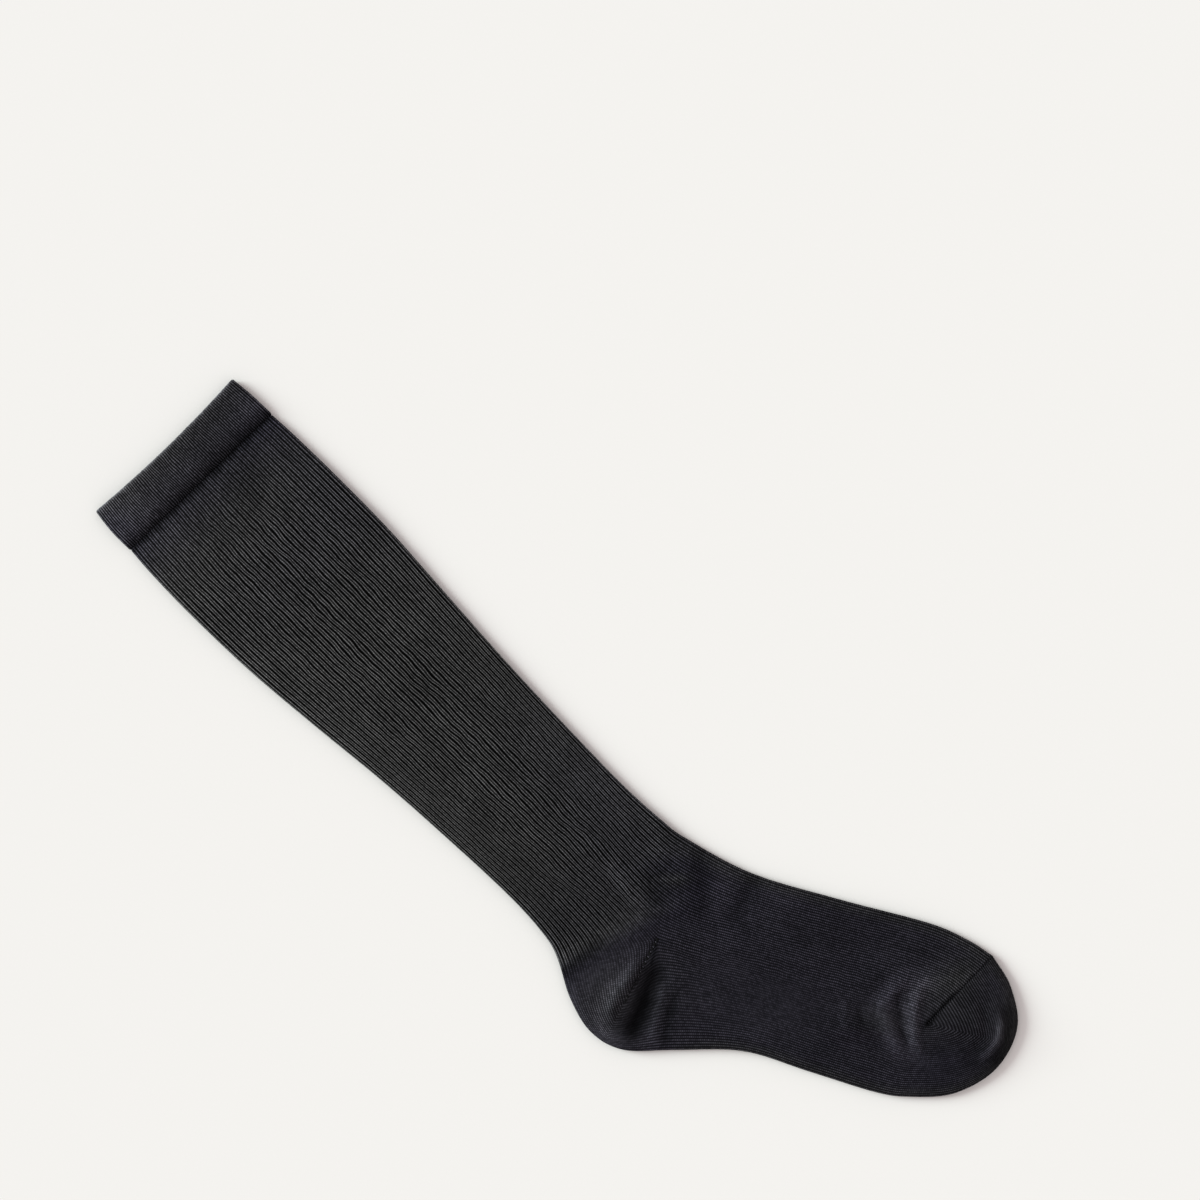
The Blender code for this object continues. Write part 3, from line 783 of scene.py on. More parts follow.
def tone_with_painted_light(plan):
    """Tone of the cloth with painted light: 1 is even, less is painted shade in hollows, creases,
    the gore, the toe seam and the welt's groove, and more is painted highlight on ridges and edges.
    """
    tone = np.ones(plan.shape[:-1])
    # Painted shade and painted highlight in patches and along creases
    for shade in PAINTED_LIGHT_AND_TONE:
        tone += swell_height(shade, plan)
    for crease in PAINTED_CREASE_LIGHT:
        tone *= 1 + crease.height * crease_share(crease, plan)
    down = plan[..., 1]
    # Painted highlight along the leg's back fold
    on_leg = smooth((down - HIGHLIGHT_STARTS) / 20) * smooth((HIGHLIGHT_ENDS - down) / 60)
    fold_highlight = np.exp(-((BACK.distance(plan) / BACK_FOLD_HIGHLIGHT_REACH) ** 2)) * on_leg
    tone *= 1 + BACK_FOLD_HIGHLIGHT * fold_highlight
    # Painted shade where the gore and the toe seam draw the cloth in
    tone *= 1 - GORE_SHADE * drawn_in(plan, GORE)
    tone *= 1 - SEAM_SHADE * drawn_in(plan, TOE_SEAM)
    # Painted shade in the welt's ragged groove
    ragged = 1 + 0.4 * waves(plan, 4.0, WAVE_SEED + 4)
    past_groove = past(plan, WELT_END) - 0.2 + 0.8 * waves(plan, 9.0, WAVE_SEED + 5)
    above, below = np.maximum(-past_groove, 0.0), np.maximum(past_groove, 0.0)
    groove = (above / GROOVE_ABOVE) ** 2.0 + (below / GROOVE_BELOW) ** 1.8
    tone *= 1 - GROOVE_SHADE * np.exp(-groove / ragged)
    # Painted highlight along the welt's top
    corners = blend(0.5, 1.0, smooth((RIM_HIGHLIGHT_CORNER - np.abs(plan[..., 0])) / 12))
    tone += RIM_HIGHLIGHT * corners * np.exp(-np.maximum(under_top(plan), 0.0) / RIM_HIGHLIGHT_REACH)
    return np.maximum(tone, 0.02)


def no_ribs(plan):
    return np.zeros(plan.shape[:-1])


def leg_ribs(plan):
    """How ribbed the knit is. Ribs stop short over the heel and fade out over the instep."""
    over_heel = 0.5 - past(plan, RIBS_END) / HEEL_RIB_FADE
    over_instep = 0.5 - (past(plan, RIBS_FADE) - 8.0) / INSTEP_RIB_FADE
    from_welt = blend(TOP_RIBS, 1.0, smooth((past(plan, WELT_END) + 2.0) / TOP_RIB_FADE))
    return np.minimum(smooth(over_heel), smooth(over_instep)) * from_welt


def navy(plan):
    """How much of its navy the yarn shows. It shows less where the light grazes the folds."""
    down = plan[..., 1]
    share = PLAIN_NAVY * (1 - leg_ribs(plan)) * smooth((down - NAVY_STARTS) / 50)
    share = np.clip(share + sum(swell_height(place, plan) for place in NAVY), 0.0, MOST_NAVY)
    edge = np.minimum(BACK.distance(plan), FRONT.distance(plan))
    past_heel = smooth((down - 415) / 15 + smooth(plan[..., 0] / 30) * 3)
    grazed = (1 - smooth(edge / GRAZED_REACH)) * past_heel
    return share * (1 - GRAZED * grazed * (down > 300))


def evenness(plan):
    """How little the stitches show."""
    rim = EVEN_RIM * np.exp(-((under_top(plan) / EVEN_RIM_REACH) ** 2))
    return np.clip(sum(swell_height(place, plan) for place in EVEN) + rim, 0.0, MOST_EVEN)


def tube_loft(plan):
    """Height of the flattened leg and foot, outside to outside."""
    cloth = bpy.context.scene.stocking_cloth
    share = (plan[..., 1] - FOOT_LOFT_STARTS) / (FOOT_LOFT_FULL - FOOT_LOFT_STARTS)
    loft = blend(cloth.leg_loft / MM, cloth.foot_loft / MM, np.clip(share, 0.0, 1.0))
    for swell in SWELLS:
        loft = loft + swell_height(swell, plan)
    for crease in CREASES:
        loft += crease.height * crease_share(crease, plan)
    below_welt = smooth((plan[..., 1] - 30) / 30)
    loft += LEG_SWELL * waves(plan, LEG_SWELL_SIZE, WAVE_SEED) * below_welt
    for line in (GORE, TOE_GORE, TOE_SEAM):
        loft -= line.depth * drawn_in(plan, line)
    past_welt = plan[..., 1] - WELT_ENDS
    return loft - LEG_DIP * np.exp(-((past_welt / LEG_DIP_REACH) ** 2))


def welt_loft(plan):
    """Height of the flattened welt, outside to outside."""
    cloth = bpy.context.scene.stocking_cloth
    swell = WELT_SWELL * waves(plan * (1.0, 0.35), WELT_SWELL_SIZE, WAVE_SEED + 1)
    loft = cloth.welt_loft / MM + swell
    return loft - WELT_DIP * np.exp(-((past(plan, WELT_END) / WELT_DIP_REACH) ** 2))


# ------------------------------------------------------------------ shells of cloth

# Where a wale is sampled, as shares of its width, and extra points close to each fold
LEG_SAMPLES = (0.0, 0.2, 0.4, 0.62, 0.82)
FINE_SAMPLES = (0.0, 0.25, 0.5, 0.75)
LOW_SAMPLES = (0.0,)
NEAR_FOLD = (0.02, 0.08, 0.2, 0.4)
INNER_STEP = 8  # the inner face has one row for as many of the outer face
CROWDED = 0.04  # how much the wales crowd at the folds where the leg meets heel and foot
LONG_SWAY, SHORT_SWAY = 13.0, 7.0  # lengths of the waves in which the wales wander
FOLD_RELIEF = 1.6  # how far round a fold the upper cloth's relief goes on, before it fades
SAME_POINT = 2e-7  # metres between points that are merged, at most
TURN_EASE = 0.12  # how much closer a pocket's rows lie at its turning line
ROWS_AT_WELT = np.array([0.0, 0.0008, 0.002, 0.0035, 0.005])
ROWS_AT_SEAM = 1 - np.array([0.012, 0.009, 0.0065, 0.0045, 0.003, 0.0018, 0.0008, 0.0])


@dataclass
class Shell:
    """One stretch of the tube, as the shell of cloth that it is knitted as."""

    name: str
    patch: Tube | Pocket
    wall: float
    wales: int
    folds: tuple = (BACK, FRONT)
    loft: object = tube_loft
    ribbed: object = leg_ribs
    samples: tuple = FINE_SAMPLES
    pocket: bool = False
    rims: tuple = (0.0, 0.0)  # how far the wall is rounded at its first and its last row
    relief: float = 1.0  # how much higher the fine wales stand than elsewhere
    wobble: float = 0.0  # how far they wander, in mm
    crowding: object = None  # how much they crowd at the folds, from a share down


def pocket_rows(rows, seamed):
    """Shares down a pocket, closer together at its turning line and at its seam."""
    even = np.linspace(0.0, 1.0, rows + 1)
    before = np.round((even + TURN_EASE * np.sin(math.pi * even)) / 2, 6)
    down = np.unique(np.concatenate([before, 1 - before]))
    if seamed:
        down = np.concatenate([down[down < 0.975], 1 - 2.2 * (1 - ROWS_AT_SEAM)])
    return down


def columns(shell, samples):
    """Shares across for each sample of each wale."""
    shares = (np.arange(shell.wales)[:, None] + samples).ravel() / shell.wales
    near = np.array(NEAR_FOLD) / shell.wales
    shares = np.concatenate([shares, near, [1.0], [] if shell.pocket else 1 - near])
    return np.unique(np.round(shares, 7))


def crowd(share, amount):
    """Move a wale towards its nearer fold."""
    return share - amount * np.sin(math.tau * share) / math.tau


def leg_crowding(down):
    """Ribs crowd at the folds of the slim ankle, and little where they reach the foot."""
    return 0.13 * np.sin(math.pi * down**1.7) ** 2 + CROWDED * down


def foot_crowding(down):
    return CROWDED * (1 - smooth(down * 2))


def ring(shell):
    """Shares across all round a section, and the side of each: 1 above and -1 below."""
    top, low = columns(shell, shell.samples), columns(shell, LOW_SAMPLES)
    if shell.pocket:
        top, low = top[::-1], low[1:]
    else:
        low = low[-2:0:-1]
    return np.concatenate([top, low]), np.repeat([1.0, -1.0], [len(top), len(low)])


def shell_faces(rows, count, start, closed):
    """Quads between rows of points that begin at a vertex number."""
    row, column = np.meshgrid(np.arange(rows - 1), np.arange(count - (not closed)), indexing="ij")
    here = row * count + column
    right = row * count + (column + 1) % count
    quads = np.stack([here, right, right + count, here + count], axis=-1)
    return quads.reshape(-1, 4) + start


def rim_faces(first, second, closed):
    """Quads between two rows of as many points."""
    if closed:
        first, second = np.append(first, first[0]), np.append(second, second[0])
    return np.stack([first[:-1], first[1:], second[1:], second[:-1]], axis=-1)


def world(plan, height):
    """Points in metres, from the plan and the height above the table."""
    x = plan[..., 0] - MIDDLE[0]
    y = MIDDLE[1] - plan[..., 1]
    return np.stack([x, y, height], axis=-1) * MM


def shell_points(shell, across, side, down):
    """Outer and inner points of a shell, its wale, course and plan, and how far in they lie."""
    across, side, down = np.broadcast_arrays(across[None], side[None], down[:, None])
    moved = crowd(across, shell.crowding(down)) if shell.crowding else across
    plan = shell.patch.at(moved, down)
    if shell.wobble:
        folds = shell.patch.at(np.ones_like(down), down) - shell.patch.at(0.0 * down, down)
        sway = waves(plan * (1.0, 0.5), LONG_SWAY, WAVE_SEED + 2)
        sway += 0.45 * waves(plan, SHORT_SWAY, WAVE_SEED + 3)
        ends = smooth(down * 16) * smooth((1 - down) * 10)
        sway *= shell.wobble * np.sin(math.pi * moved) * ends
        moved = moved + sway / np.linalg.norm(folds, axis=-1)
        plan = shell.patch.at(moved, down)
    on_fold = (across == 0.0) | ((across == 1.0) & (not shell.pocket))
    edge = np.minimum(*[fold.distance(plan) for fold in shell.folds])
    lean = np.where(on_fold, 1.0, 1 - np.minimum(edge / fold_run(plan), 1.0))
    rise = np.sqrt(1 - lean**2)
    half = shell.loft(plan) / 2
    middle = shell.patch.at(np.full_like(across, 1.0 if shell.pocket else 0.5), down)
    outer = world(plan, half + side * half * rise)
    inner_plan = plan + unit(middle - plan) * (shell.wall * lean)[..., None]
    inner = world(inner_plan, half + side * (half - shell.wall) * rise)
    steps = np.linalg.norm(np.diff(plan, axis=0), axis=-1)
    course = np.vstack([np.zeros(steps.shape[1]), np.cumsum(steps, axis=0)])
    return outer, inner, across * shell.wales, course, plan, edge


def outward_directions(outer, side, closed):
    """Unit directions straight out of the cloth at each outer point."""
    if closed:
        ahead = np.roll(outer, -1, axis=1) - np.roll(outer, 1, axis=1)
    else:
        ahead = np.gradient(outer, axis=1)
    normals = unit(np.cross(ahead, np.gradient(outer, axis=0)))
    flat = np.linalg.norm(normals, axis=-1) < 0.5
    normals *= np.sign((normals[..., 2] * side).sum())
    normals[flat] = (0.0, 0.0, 1.0)
    return normals


def round_rims(shell, outer, inner, down, plan):
    """Round the wall where it ends: at rims[0] mm from its first row, rims[1] from its last."""
    middle = (outer + inner) / 2
    reach = np.linalg.norm(plan[-1] - plan[0], axis=-1)
    keep = np.ones(outer.shape[:2])
    for rim, share in zip(shell.rims, (down, 1 - down)):
        if rim:
            from_rim = share[:, None] * reach
            lean = 1 - np.minimum(from_rim / rim, 1.0)
            keep *= np.sqrt(1 - lean**2)
    return blend(middle, outer, keep[..., None]), blend(middle, inner, keep[..., None])


def relief_left(plan):
    """Share of the relief that stays where a seam, a turning line or a rim draws the cloth in."""
    at_top = smooth(past(plan, WELT_TOP) / 2)
    return (1 - drawn_in(plan, GORE)) * (1 - drawn_in(plan, TOE_SEAM)) * at_top


def store_fields(mesh, fields, inner_rows):
    """Keep what the relief and the yarn follow as attributes, with none of it raised inside."""
    for name, field in fields.items():
        inside = field[inner_rows] * (name != "relief")
        values = np.concatenate([field.ravel(), inside.ravel()]).astype(np.float32)
        mesh.attributes.new(name, "FLOAT", "POINT").data.foreach_set("value", values)


def close_up(mesh):
    """Merge points that lie on each other, and turn the faces outwards."""
    work = bmesh.new()
    work.from_mesh(mesh)
    bmesh.ops.remove_doubles(work, verts=work.verts, dist=SAME_POINT)
    bmesh.ops.dissolve_degenerate(work, edges=work.edges, dist=SAME_POINT / 2)
    bmesh.ops.recalc_face_normals(work, faces=work.faces)
    work.to_mesh(mesh)
    work.free()
    mesh.shade_smooth()
    mesh.set_sharp_from_angle(angle=math.radians(50))


def put_in_scene(name, data):
    piece = bpy.data.objects.new(name, data)
    bpy.context.scene.collection.objects.link(piece)
    return piece


def knit_shell(shell, down):
    """A closed shell of cloth with its wales, courses and reliefs as attributes."""
    across, side = ring(shell)
    outer, inner, wale, course, plan, edge = shell_points(shell, across, side, down)
    outer, inner = round_rims(shell, outer, inner, down, plan)
    inner_rows = np.unique(np.append(np.arange(0, len(down), INNER_STEP), len(down) - 1))
    closed = not shell.pocket
    count, total = len(across), outer.shape[0] * outer.shape[1]
    first = np.arange(count)
    last = total - count + first
    inner_last = total + (len(inner_rows) - 1) * count + first
    faces = [
        shell_faces(len(down), count, 0, closed),
        shell_faces(len(inner_rows), count, total, closed)[:, ::-1],
        rim_faces(first + total, first, closed),
        rim_faces(last, inner_last, closed),
    ]
    mesh = bpy.data.meshes.new(shell.name)
    vertices = np.vstack([outer.reshape(-1, 3), inner[inner_rows].reshape(-1, 3)])
    mesh.from_pydata(vertices, [], np.vstack(faces).tolist())

    side = np.broadcast_to(side, edge.shape)
    fields = {
        "wale": wale,
        "course": course,
        "ribbed": shell.ribbed(plan),
        "relief": np.where(side > 0, 1.0, 1 - smooth(edge / FOLD_RELIEF)) * relief_left(plan),
        # the tone carries painted shade and painted highlight
        "tone": tone_with_painted_light(plan),
        "navy": navy(plan),
        "even": evenness(plan),
    }
    store_fields(mesh, fields, inner_rows)
    directions = np.zeros(vertices.shape, np.float32)
    directions[:total] = outward_directions(outer, side, closed).reshape(-1, 3)
    outward = mesh.attributes.new("outward", "FLOAT_VECTOR", "POINT")
    outward.data.foreach_set("vector", directions.ravel())
    close_up(mesh)
    return put_in_scene(shell.name, mesh)


# ------------------------------------------------------------------ nodes


def add_node(tree, kind, inputs=None, **settings):
    """Add a node with its settings. Each input is a value, or a node or output to link from."""
    made = tree.nodes.new(kind)
    for name, value in settings.items():
        setattr(made, name, value)
    for key, value in (inputs or {}).items():
        if isinstance(value, bpy.types.Node):
            value = value.outputs[0]
        if isinstance(value, bpy.types.NodeSocket):
            tree.links.new(value, made.inputs[key])
        else:
            made.inputs[key].default_value = value
    return made


def start_tree(name, sockets):
    """A Geometry Nodes tree, what adds a node to it, and its group input with named sockets."""
    tree = bpy.data.node_groups.new(name, "GeometryNodeTree")
    tree.interface.new_socket("Geometry", in_out="INPUT", socket_type="NodeSocketGeometry")
    for label, kind, default in sockets:
        socket = tree.interface.new_socket(
            label, in_out="INPUT", socket_type=f"NodeSocket{kind}"
        )
        if default is not None:
            socket.default_value = default
    tree.interface.new_socket("Geometry", in_out="OUTPUT", socket_type="NodeSocketGeometry")
    add = partial(add_node, tree)
    return tree, add, add("NodeGroupInput")


def apply_tree(piece, tree, values):
    """Run a tree on a piece with its inputs set, and keep the result as a plain mesh."""
    modifier = piece.modifiers.new(tree.name, "NODES")
    modifier.node_group = tree
    for item in tree.interface.items_tree:
        if item.in_out == "INPUT" and item.name in values:
            modifier[item.identifier] = values[item.name]
    graph = bpy.context.evaluated_depsgraph_get()
    mesh = bpy.data.meshes.new_from_object(piece.evaluated_get(graph))
    piece.modifiers.clear()
    plain = piece.data
    name = plain.name
    piece.data = mesh
    bpy.data.meshes.remove(plain)
    mesh.name = name


def relief_tree():
    """Raise ribs and fine wales from a shell, along its wales."""
    tree, add, given = start_tree(
        "Knit relief",
        [
            ("Rib height", "Float", 0.0005),
            ("Wale height", "Float", 0.00015),
            ("Unevenness", "Float", 0.35),
            ("Unevenness size", "Float", 0.02),
            ("Seed", "Float", 3.0),
            ("Material", "Material", None),
        ],
    )
    sizes = given.outputs
    number, ribbed, relief = [
        add("GeometryNodeInputNamedAttribute", {"Name": name}, data_type="FLOAT")
        for name in ("wale", "ribbed", "relief")
    ]
    # 0 in the gap between two wales, 1 on a wale's crest; a rib is two wales
    wale = add("ShaderNodeMath", {0: number, 1: 0.5}, operation="PINGPONG")
    crest = add("ShaderNodeMapRange", {0: wale, 2: 0.5}, interpolation_type="SMOOTHSTEP")
    rib = add("ShaderNodeMath", {0: number, 1: 1.0}, operation="PINGPONG")
    crown = add("ShaderNodeMapRange", {0: rib, 1: 0.05, 2: 0.5}, interpolation_type="SMOOTHSTEP")
    place = add("GeometryNodeInputPosition")
    scale = add("ShaderNodeMath", {0: 1.0, 1: sizes["Unevenness size"]}, operation="DIVIDE")
    noise = add(
        "ShaderNodeTexNoise",
        {"Vector": place, "W": sizes["Seed"], "Scale": scale, "Detail": 1.0},
        noise_dimensions="4D",
    )
    uneven = add("ShaderNodeMath", {0: noise, 1: 0.5}, operation="SUBTRACT")
    factor = add(
        "ShaderNodeMath", {0: uneven, 1: sizes["Unevenness"], 2: 1.0}, operation="MULTIPLY_ADD"
    )
    rib_rise = add("ShaderNodeMath", {0: crown, 1: sizes["Rib height"]}, operation="MULTIPLY")
    rib_here = add("ShaderNodeMath", {0: rib_rise, 1: ribbed}, operation="MULTIPLY")
    rise = add(
        "ShaderNodeMath", {0: crest, 1: sizes["Wale height"], 2: rib_here}, operation="MULTIPLY_ADD"
    )
    uneven_rise = add("ShaderNodeMath", {0: rise, 1: factor}, operation="MULTIPLY")
    height = add("ShaderNodeMath", {0: uneven_rise, 1: relief}, operation="MULTIPLY")
    outward = add("GeometryNodeInputNamedAttribute", {"Name": "outward"}, data_type="FLOAT_VECTOR")
    offset = add("ShaderNodeVectorMath", {0: outward, "Scale": height}, operation="SCALE")
    raised = add("GeometryNodeSetPosition", {"Geometry": given, "Offset": offset})
    # Nothing goes below the table
    after = add("GeometryNodeInputPosition")
    floor = add("ShaderNodeVectorMath", {0: after, 1: (-9.0, -9.0, 0.0)}, operation="MAXIMUM")
    rested = add("GeometryNodeSetPosition", {"Geometry": raised, "Position": floor})
    real = add("GeometryNodeRealizeInstances", {"Geometry": rested})
    dressed = add("GeometryNodeSetMaterial", {"Geometry": real, "Material": sizes["Material"]})
    add("NodeGroupOutput", {"Geometry": dressed})
    return tree


def beads_tree():
    """Put a small oval bead, a stitch or an eyelet, at even steps along a line."""
    tree, add, given = start_tree(
        "Beads along a line",
        [
            ("Spacing", "Float", 0.003),
            ("Bead length", "Float", 0.0012),
            ("Bead width", "Float", 0.0008),
            ("Bead height", "Float", 0.0004),
            ("Turn", "Float", 0.0),
            ("Seed", "Int", 1),
            ("Material", "Material", None),
        ],
    )
    sizes = given.outputs
    line = add("GeometryNodeMeshToCurve", {"Mesh": given})
    steps = add(
        "GeometryNodeResampleCurve", {"Curve": line, "Length": sizes["Spacing"]}, mode="LENGTH"
    )
    ball = add("GeometryNodeMeshUVSphere", {"Segments": 8, "Rings": 5, "Radius": 0.5})
    shape = add(
        "ShaderNodeCombineXYZ",
        {0: sizes["Bead length"], 1: sizes["Bead width"], 2: sizes["Bead height"]},
    )
    oval = add("GeometryNodeTransform", {"Geometry": ball, "Scale": shape})
    tangent = add("GeometryNodeInputTangent")
    along = add("FunctionNodeAlignRotationToVector", {"Vector": tangent}, axis="X")
    chance, size = [
        add(
            "FunctionNodeRandomValue",
            {"Seed": sizes["Seed"], 2: least, 3: most},
            data_type="FLOAT",
        ).outputs[1]
        for least, most in ((-0.12, 0.12), (0.8, 1.15))
    ]
    turn = add("ShaderNodeMath", {0: chance, 1: sizes["Turn"]}, operation="ADD")
    twist = add("ShaderNodeCombineXYZ", {2: turn})
    turned = add(
        "FunctionNodeRotateRotation",
        {"Rotation": along, "Rotate By": twist},
        rotation_space="LOCAL",
    )
    placed = add(
        "GeometryNodeInstanceOnPoints",
        {"Points": steps, "Instance": oval, "Rotation": turned, "Scale": size},
    )
    real = add("GeometryNodeRealizeInstances", {"Geometry": placed})
    soft = add("GeometryNodeSetShadeSmooth", {"Geometry": real})
    dressed = add("GeometryNodeSetMaterial", {"Geometry": soft, "Material": sizes["Material"]})
    add("NodeGroupOutput", {"Geometry": dressed})
    return tree


# ------------------------------------------------------------------ materials

STITCH_PITCH = 1.1  # mm for each course of stitches; a real 0.7 mm is too fine to show
WALE_GAP, WALE_CREST = 0.15, 0.48  # where a wale rises from its gap, and reaches its crest
RIB_FURROW, RIB_CREST = 0.3, 0.62  # the same of a rib, which is two wales wide
RIB_GAP_SHADE = 0.05  # painted shade in the gap between the two wales of a rib, where 1 is a crest's tone
RIB_BEAD_TONES = (0.4, 1.3)  # painted shade between the stitches of a rib, and the tone on them
EVEN_TONE = 0.45  # where the knit is too close for its stitches to show
ODD_WALE = 0.08  # how much a wale's tone differs from its neighbours'
STREAKS = (0.3, 0.035)  # of the yarn's tension: how many to a wale across, and to a mm along
CLOUDS = 55.0  # soft patches of tone, to a metre


def start_material(name):
    """A material with an empty tree, and what adds a node to it."""
    material = bpy.data.materials.new(name)
    material.use_nodes = True
    material.node_tree.nodes.clear()
    return material, partial(add_node, material.node_tree)


def knit_material(name, hues, yarn, gap_shade=0.08, bead_tones=(0.12, 1.5), odd=0.38):
    """Matt filament knit: painted shade in the gaps between wales and between the stitches, which
    leaves a small pale loop for each stitch.

    The yarn is spun-dyed nylon over elastane, drawn tight by the machine. It gives the eye
    dull charcoal wales, whose near-black gaps are painted shade, broken into stitches of uneven
    tone.
    The last three arguments set the plain knit's painted shade in its gaps and its tones between
    and on the stitches, and odd is how uneven its stitches are.
    """
    material, add = start_material(name)
    wale, course, ribbed, tone, tint, even = [
        add("ShaderNodeAttribute", attribute_name=label).outputs["Fac"]
        for label in ("wale", "course", "ribbed", "tone", "navy", "even")
    ]
    beside = add("ShaderNodeMath", {0: wale, 1: 0.5}, operation="PINGPONG")
    crest = add(
        "ShaderNodeMapRange",
        {0: beside, 1: WALE_GAP, 2: WALE_CREST},
        interpolation_type="SMOOTHSTEP",
    )
    # Each stitch is a V, so a course climbs from the middle of its wale to the sides
    climb = add(
        "ShaderNodeMath", {0: course, 1: 1 / STITCH_PITCH, 2: beside}, operation="MULTIPLY_ADD"
    )
    stitch = add("ShaderNodeMath", {0: climb, 1: 0.5}, operation="PINGPONG")
    # The stitches of the plain knit stand out more than those of the ribs, with darker painted
    # shade between them
    low, high = [
        add("ShaderNodeMapRange", {0: ribbed, 3: plain, 4: on_rib})
        for plain, on_rib in zip(bead_tones, RIB_BEAD_TONES)
    ]
    bead = add("ShaderNodeMapRange", {0: stitch, 2: 0.5, 3: low, 4: high})
    wale_number = add("ShaderNodeMath", {0: wale}, operation="FLOOR")
    course_number = add("ShaderNodeMath", {0: climb}, operation="FLOOR")
    cell = add("ShaderNodeCombineXYZ", {0: wale_number, 1: course_number})
    stitch_chance = add("ShaderNodeTexWhiteNoise", {"Vector": cell}, noise_dimensions="2D")
    odd_stitch = add("ShaderNodeMapRange", {0: stitch_chance, 3: 1 - odd, 4: 1 + odd})
    wale_chance = add("ShaderNodeTexWhiteNoise", {"W": wale_number}, noise_dimensions="1D")
    odd_wale = add("ShaderNodeMapRange", {0: wale_chance, 3: 1 - ODD_WALE, 4: 1 + ODD_WALE})

    # Ribs are two wales wide, and the gap inside a rib is shallower than the furrow beside it, so
    # it takes lighter painted shade
    rib = add("ShaderNodeMath", {0: wale, 1: 1.0}, operation="PINGPONG")
    crown = add(
        "ShaderNodeMapRange",
        {0: rib, 1: RIB_FURROW, 2: RIB_CREST},
        interpolation_type="SMOOTHSTEP",
    )
    shaded_rib_gaps = add("ShaderNodeMapRange", {0: crest, 3: RIB_GAP_SHADE, 4: 1.0})
    rib_pattern = add("ShaderNodeMath", {0: crown, 1: shaded_rib_gaps}, operation="MULTIPLY")
    # Painted shade in the gaps between the plain knit's wales
    shaded_gaps = add("ShaderNodeMapRange", {0: crest, 3: gap_shade, 4: 1.0})
    pattern = add("ShaderNodeMix", {0: ribbed, 2: shaded_gaps, 3: rib_pattern})
    rough = add("ShaderNodeMath", {0: pattern, 1: bead}, operation="MULTIPLY")
    beaded = add("ShaderNodeMix", {0: even, 2: rough, 3: EVEN_TONE})
    spun = add("ShaderNodeMath", {0: beaded, 1: odd_stitch}, operation="MULTIPLY")
    uneven = add("ShaderNodeMath", {0: spun, 1: odd_wale}, operation="MULTIPLY")

    # The tension of the yarn drifts, which leaves long faint streaks along the wales
    run_across = add("ShaderNodeMath", {0: wale, 1: STREAKS[0]}, operation="MULTIPLY")
    run_along = add("ShaderNodeMath", {0: course, 1: STREAKS[1]}, operation="MULTIPLY")
    run = add("ShaderNodeCombineXYZ", {0: run_across, 1: run_along})
    drift = add("ShaderNodeTexNoise", {"Vector": run, "Scale": 1.0, "Detail": 2.0})
    streak = add("ShaderNodeMapRange", {0: drift, 1: 0.3, 2: 0.7, 3: 0.9, 4: 1.1})
    spot = add("ShaderNodeTexCoord").outputs["Object"]
    cloudy = add("ShaderNodeTexNoise", {"Vector": spot, "Scale": CLOUDS, "Detail": 3.0})
    cloud = add("ShaderNodeMapRange", {0: cloudy, 1: 0.3, 2: 0.7, 3: 0.88, 4: 1.12})
    patchy = add("ShaderNodeMath", {0: cloud, 1: streak}, operation="MULTIPLY")
    # The tone attribute brings the painted shade and painted highlight
    toned = add("ShaderNodeMath", {0: patchy, 1: tone}, operation="MULTIPLY")

    # Painted shade colours in the gaps and furrows, and the yarn's own on the crests
    crests, gaps = [
        add("ShaderNodeMix", {0: ribbed, 6: plain, 7: on_rib}, data_type="RGBA").outputs[2]
        for plain, on_rib in ((yarn, hues.rib_yarn), (hues.plain_gap_shade, hues.rib_furrow_shade))
    ]
    cloth = add(
        "ShaderNodeMix", {0: uneven, 6: gaps, 7: crests}, data_type="RGBA", clamp_factor=False
    )
    hued = add("ShaderNodeHueSaturation", {"Saturation": tint, "Color": cloth.outputs[2]})
    shown = add("ShaderNodeVectorMath", {0: hued, "Scale": toned}, operation="SCALE")
    bump = add("ShaderNodeBump", {"Height": spun, "Strength": 0.5, "Distance": 0.00025})
    matt = {"Roughness": 0.9, "Specular IOR Level": 0.03}
    shader = add("ShaderNodeBsdfPrincipled", {"Base Color": shown, "Normal": bump, **matt})
    add("ShaderNodeOutputMaterial", {"Surface": shader})
    return material


def yarn_material(name, code, roughness):
    """Spun yarn in a single loop: dull, with a slight unevenness along the thread."""
    material, add = start_material(name)
    spot = add("ShaderNodeTexCoord").outputs["Object"]
    cloudy = add("ShaderNodeTexNoise", {"Vector": spot, "Scale": 2500.0})
    dark = tuple(0.5 * share for share in hex_colour(code)[:3])
    tint = add(
        "ShaderNodeMix", {0: cloudy, 6: (*dark, 1.0), 7: hex_colour(code)}, data_type="RGBA"
    )
    shader = add(
        "ShaderNodeBsdfPrincipled",
        {"Base Color": tint.outputs[2], "Roughness": roughness, "Specular IOR Level": 0.2},
    )
    add("ShaderNodeOutputMaterial", {"Surface": shader})
    return material


def paper_material(name, tint):
    """Matt seamless paper: flat and even, with the faintest fibre."""
    material, add = start_material(name)
    spot = add("ShaderNodeTexCoord").outputs["Object"]
    fibre = add("ShaderNodeTexNoise", {"Vector": spot, "Scale": 900.0})
    faint = add("ShaderNodeMapRange", {0: fibre, 3: 0.99, 4: 1.01})
    shade = add("ShaderNodeVectorMath", {0: tint[:3], "Scale": faint}, operation="SCALE")
    matt = {"Roughness": 1.0, "Specular IOR Level": 0.0}
    shader = add("ShaderNodeBsdfPrincipled", {"Base Color": shade, **matt})
    add("ShaderNodeOutputMaterial", {"Surface": shader})
    return material


# ------------------------------------------------------------------ the stocking's pieces


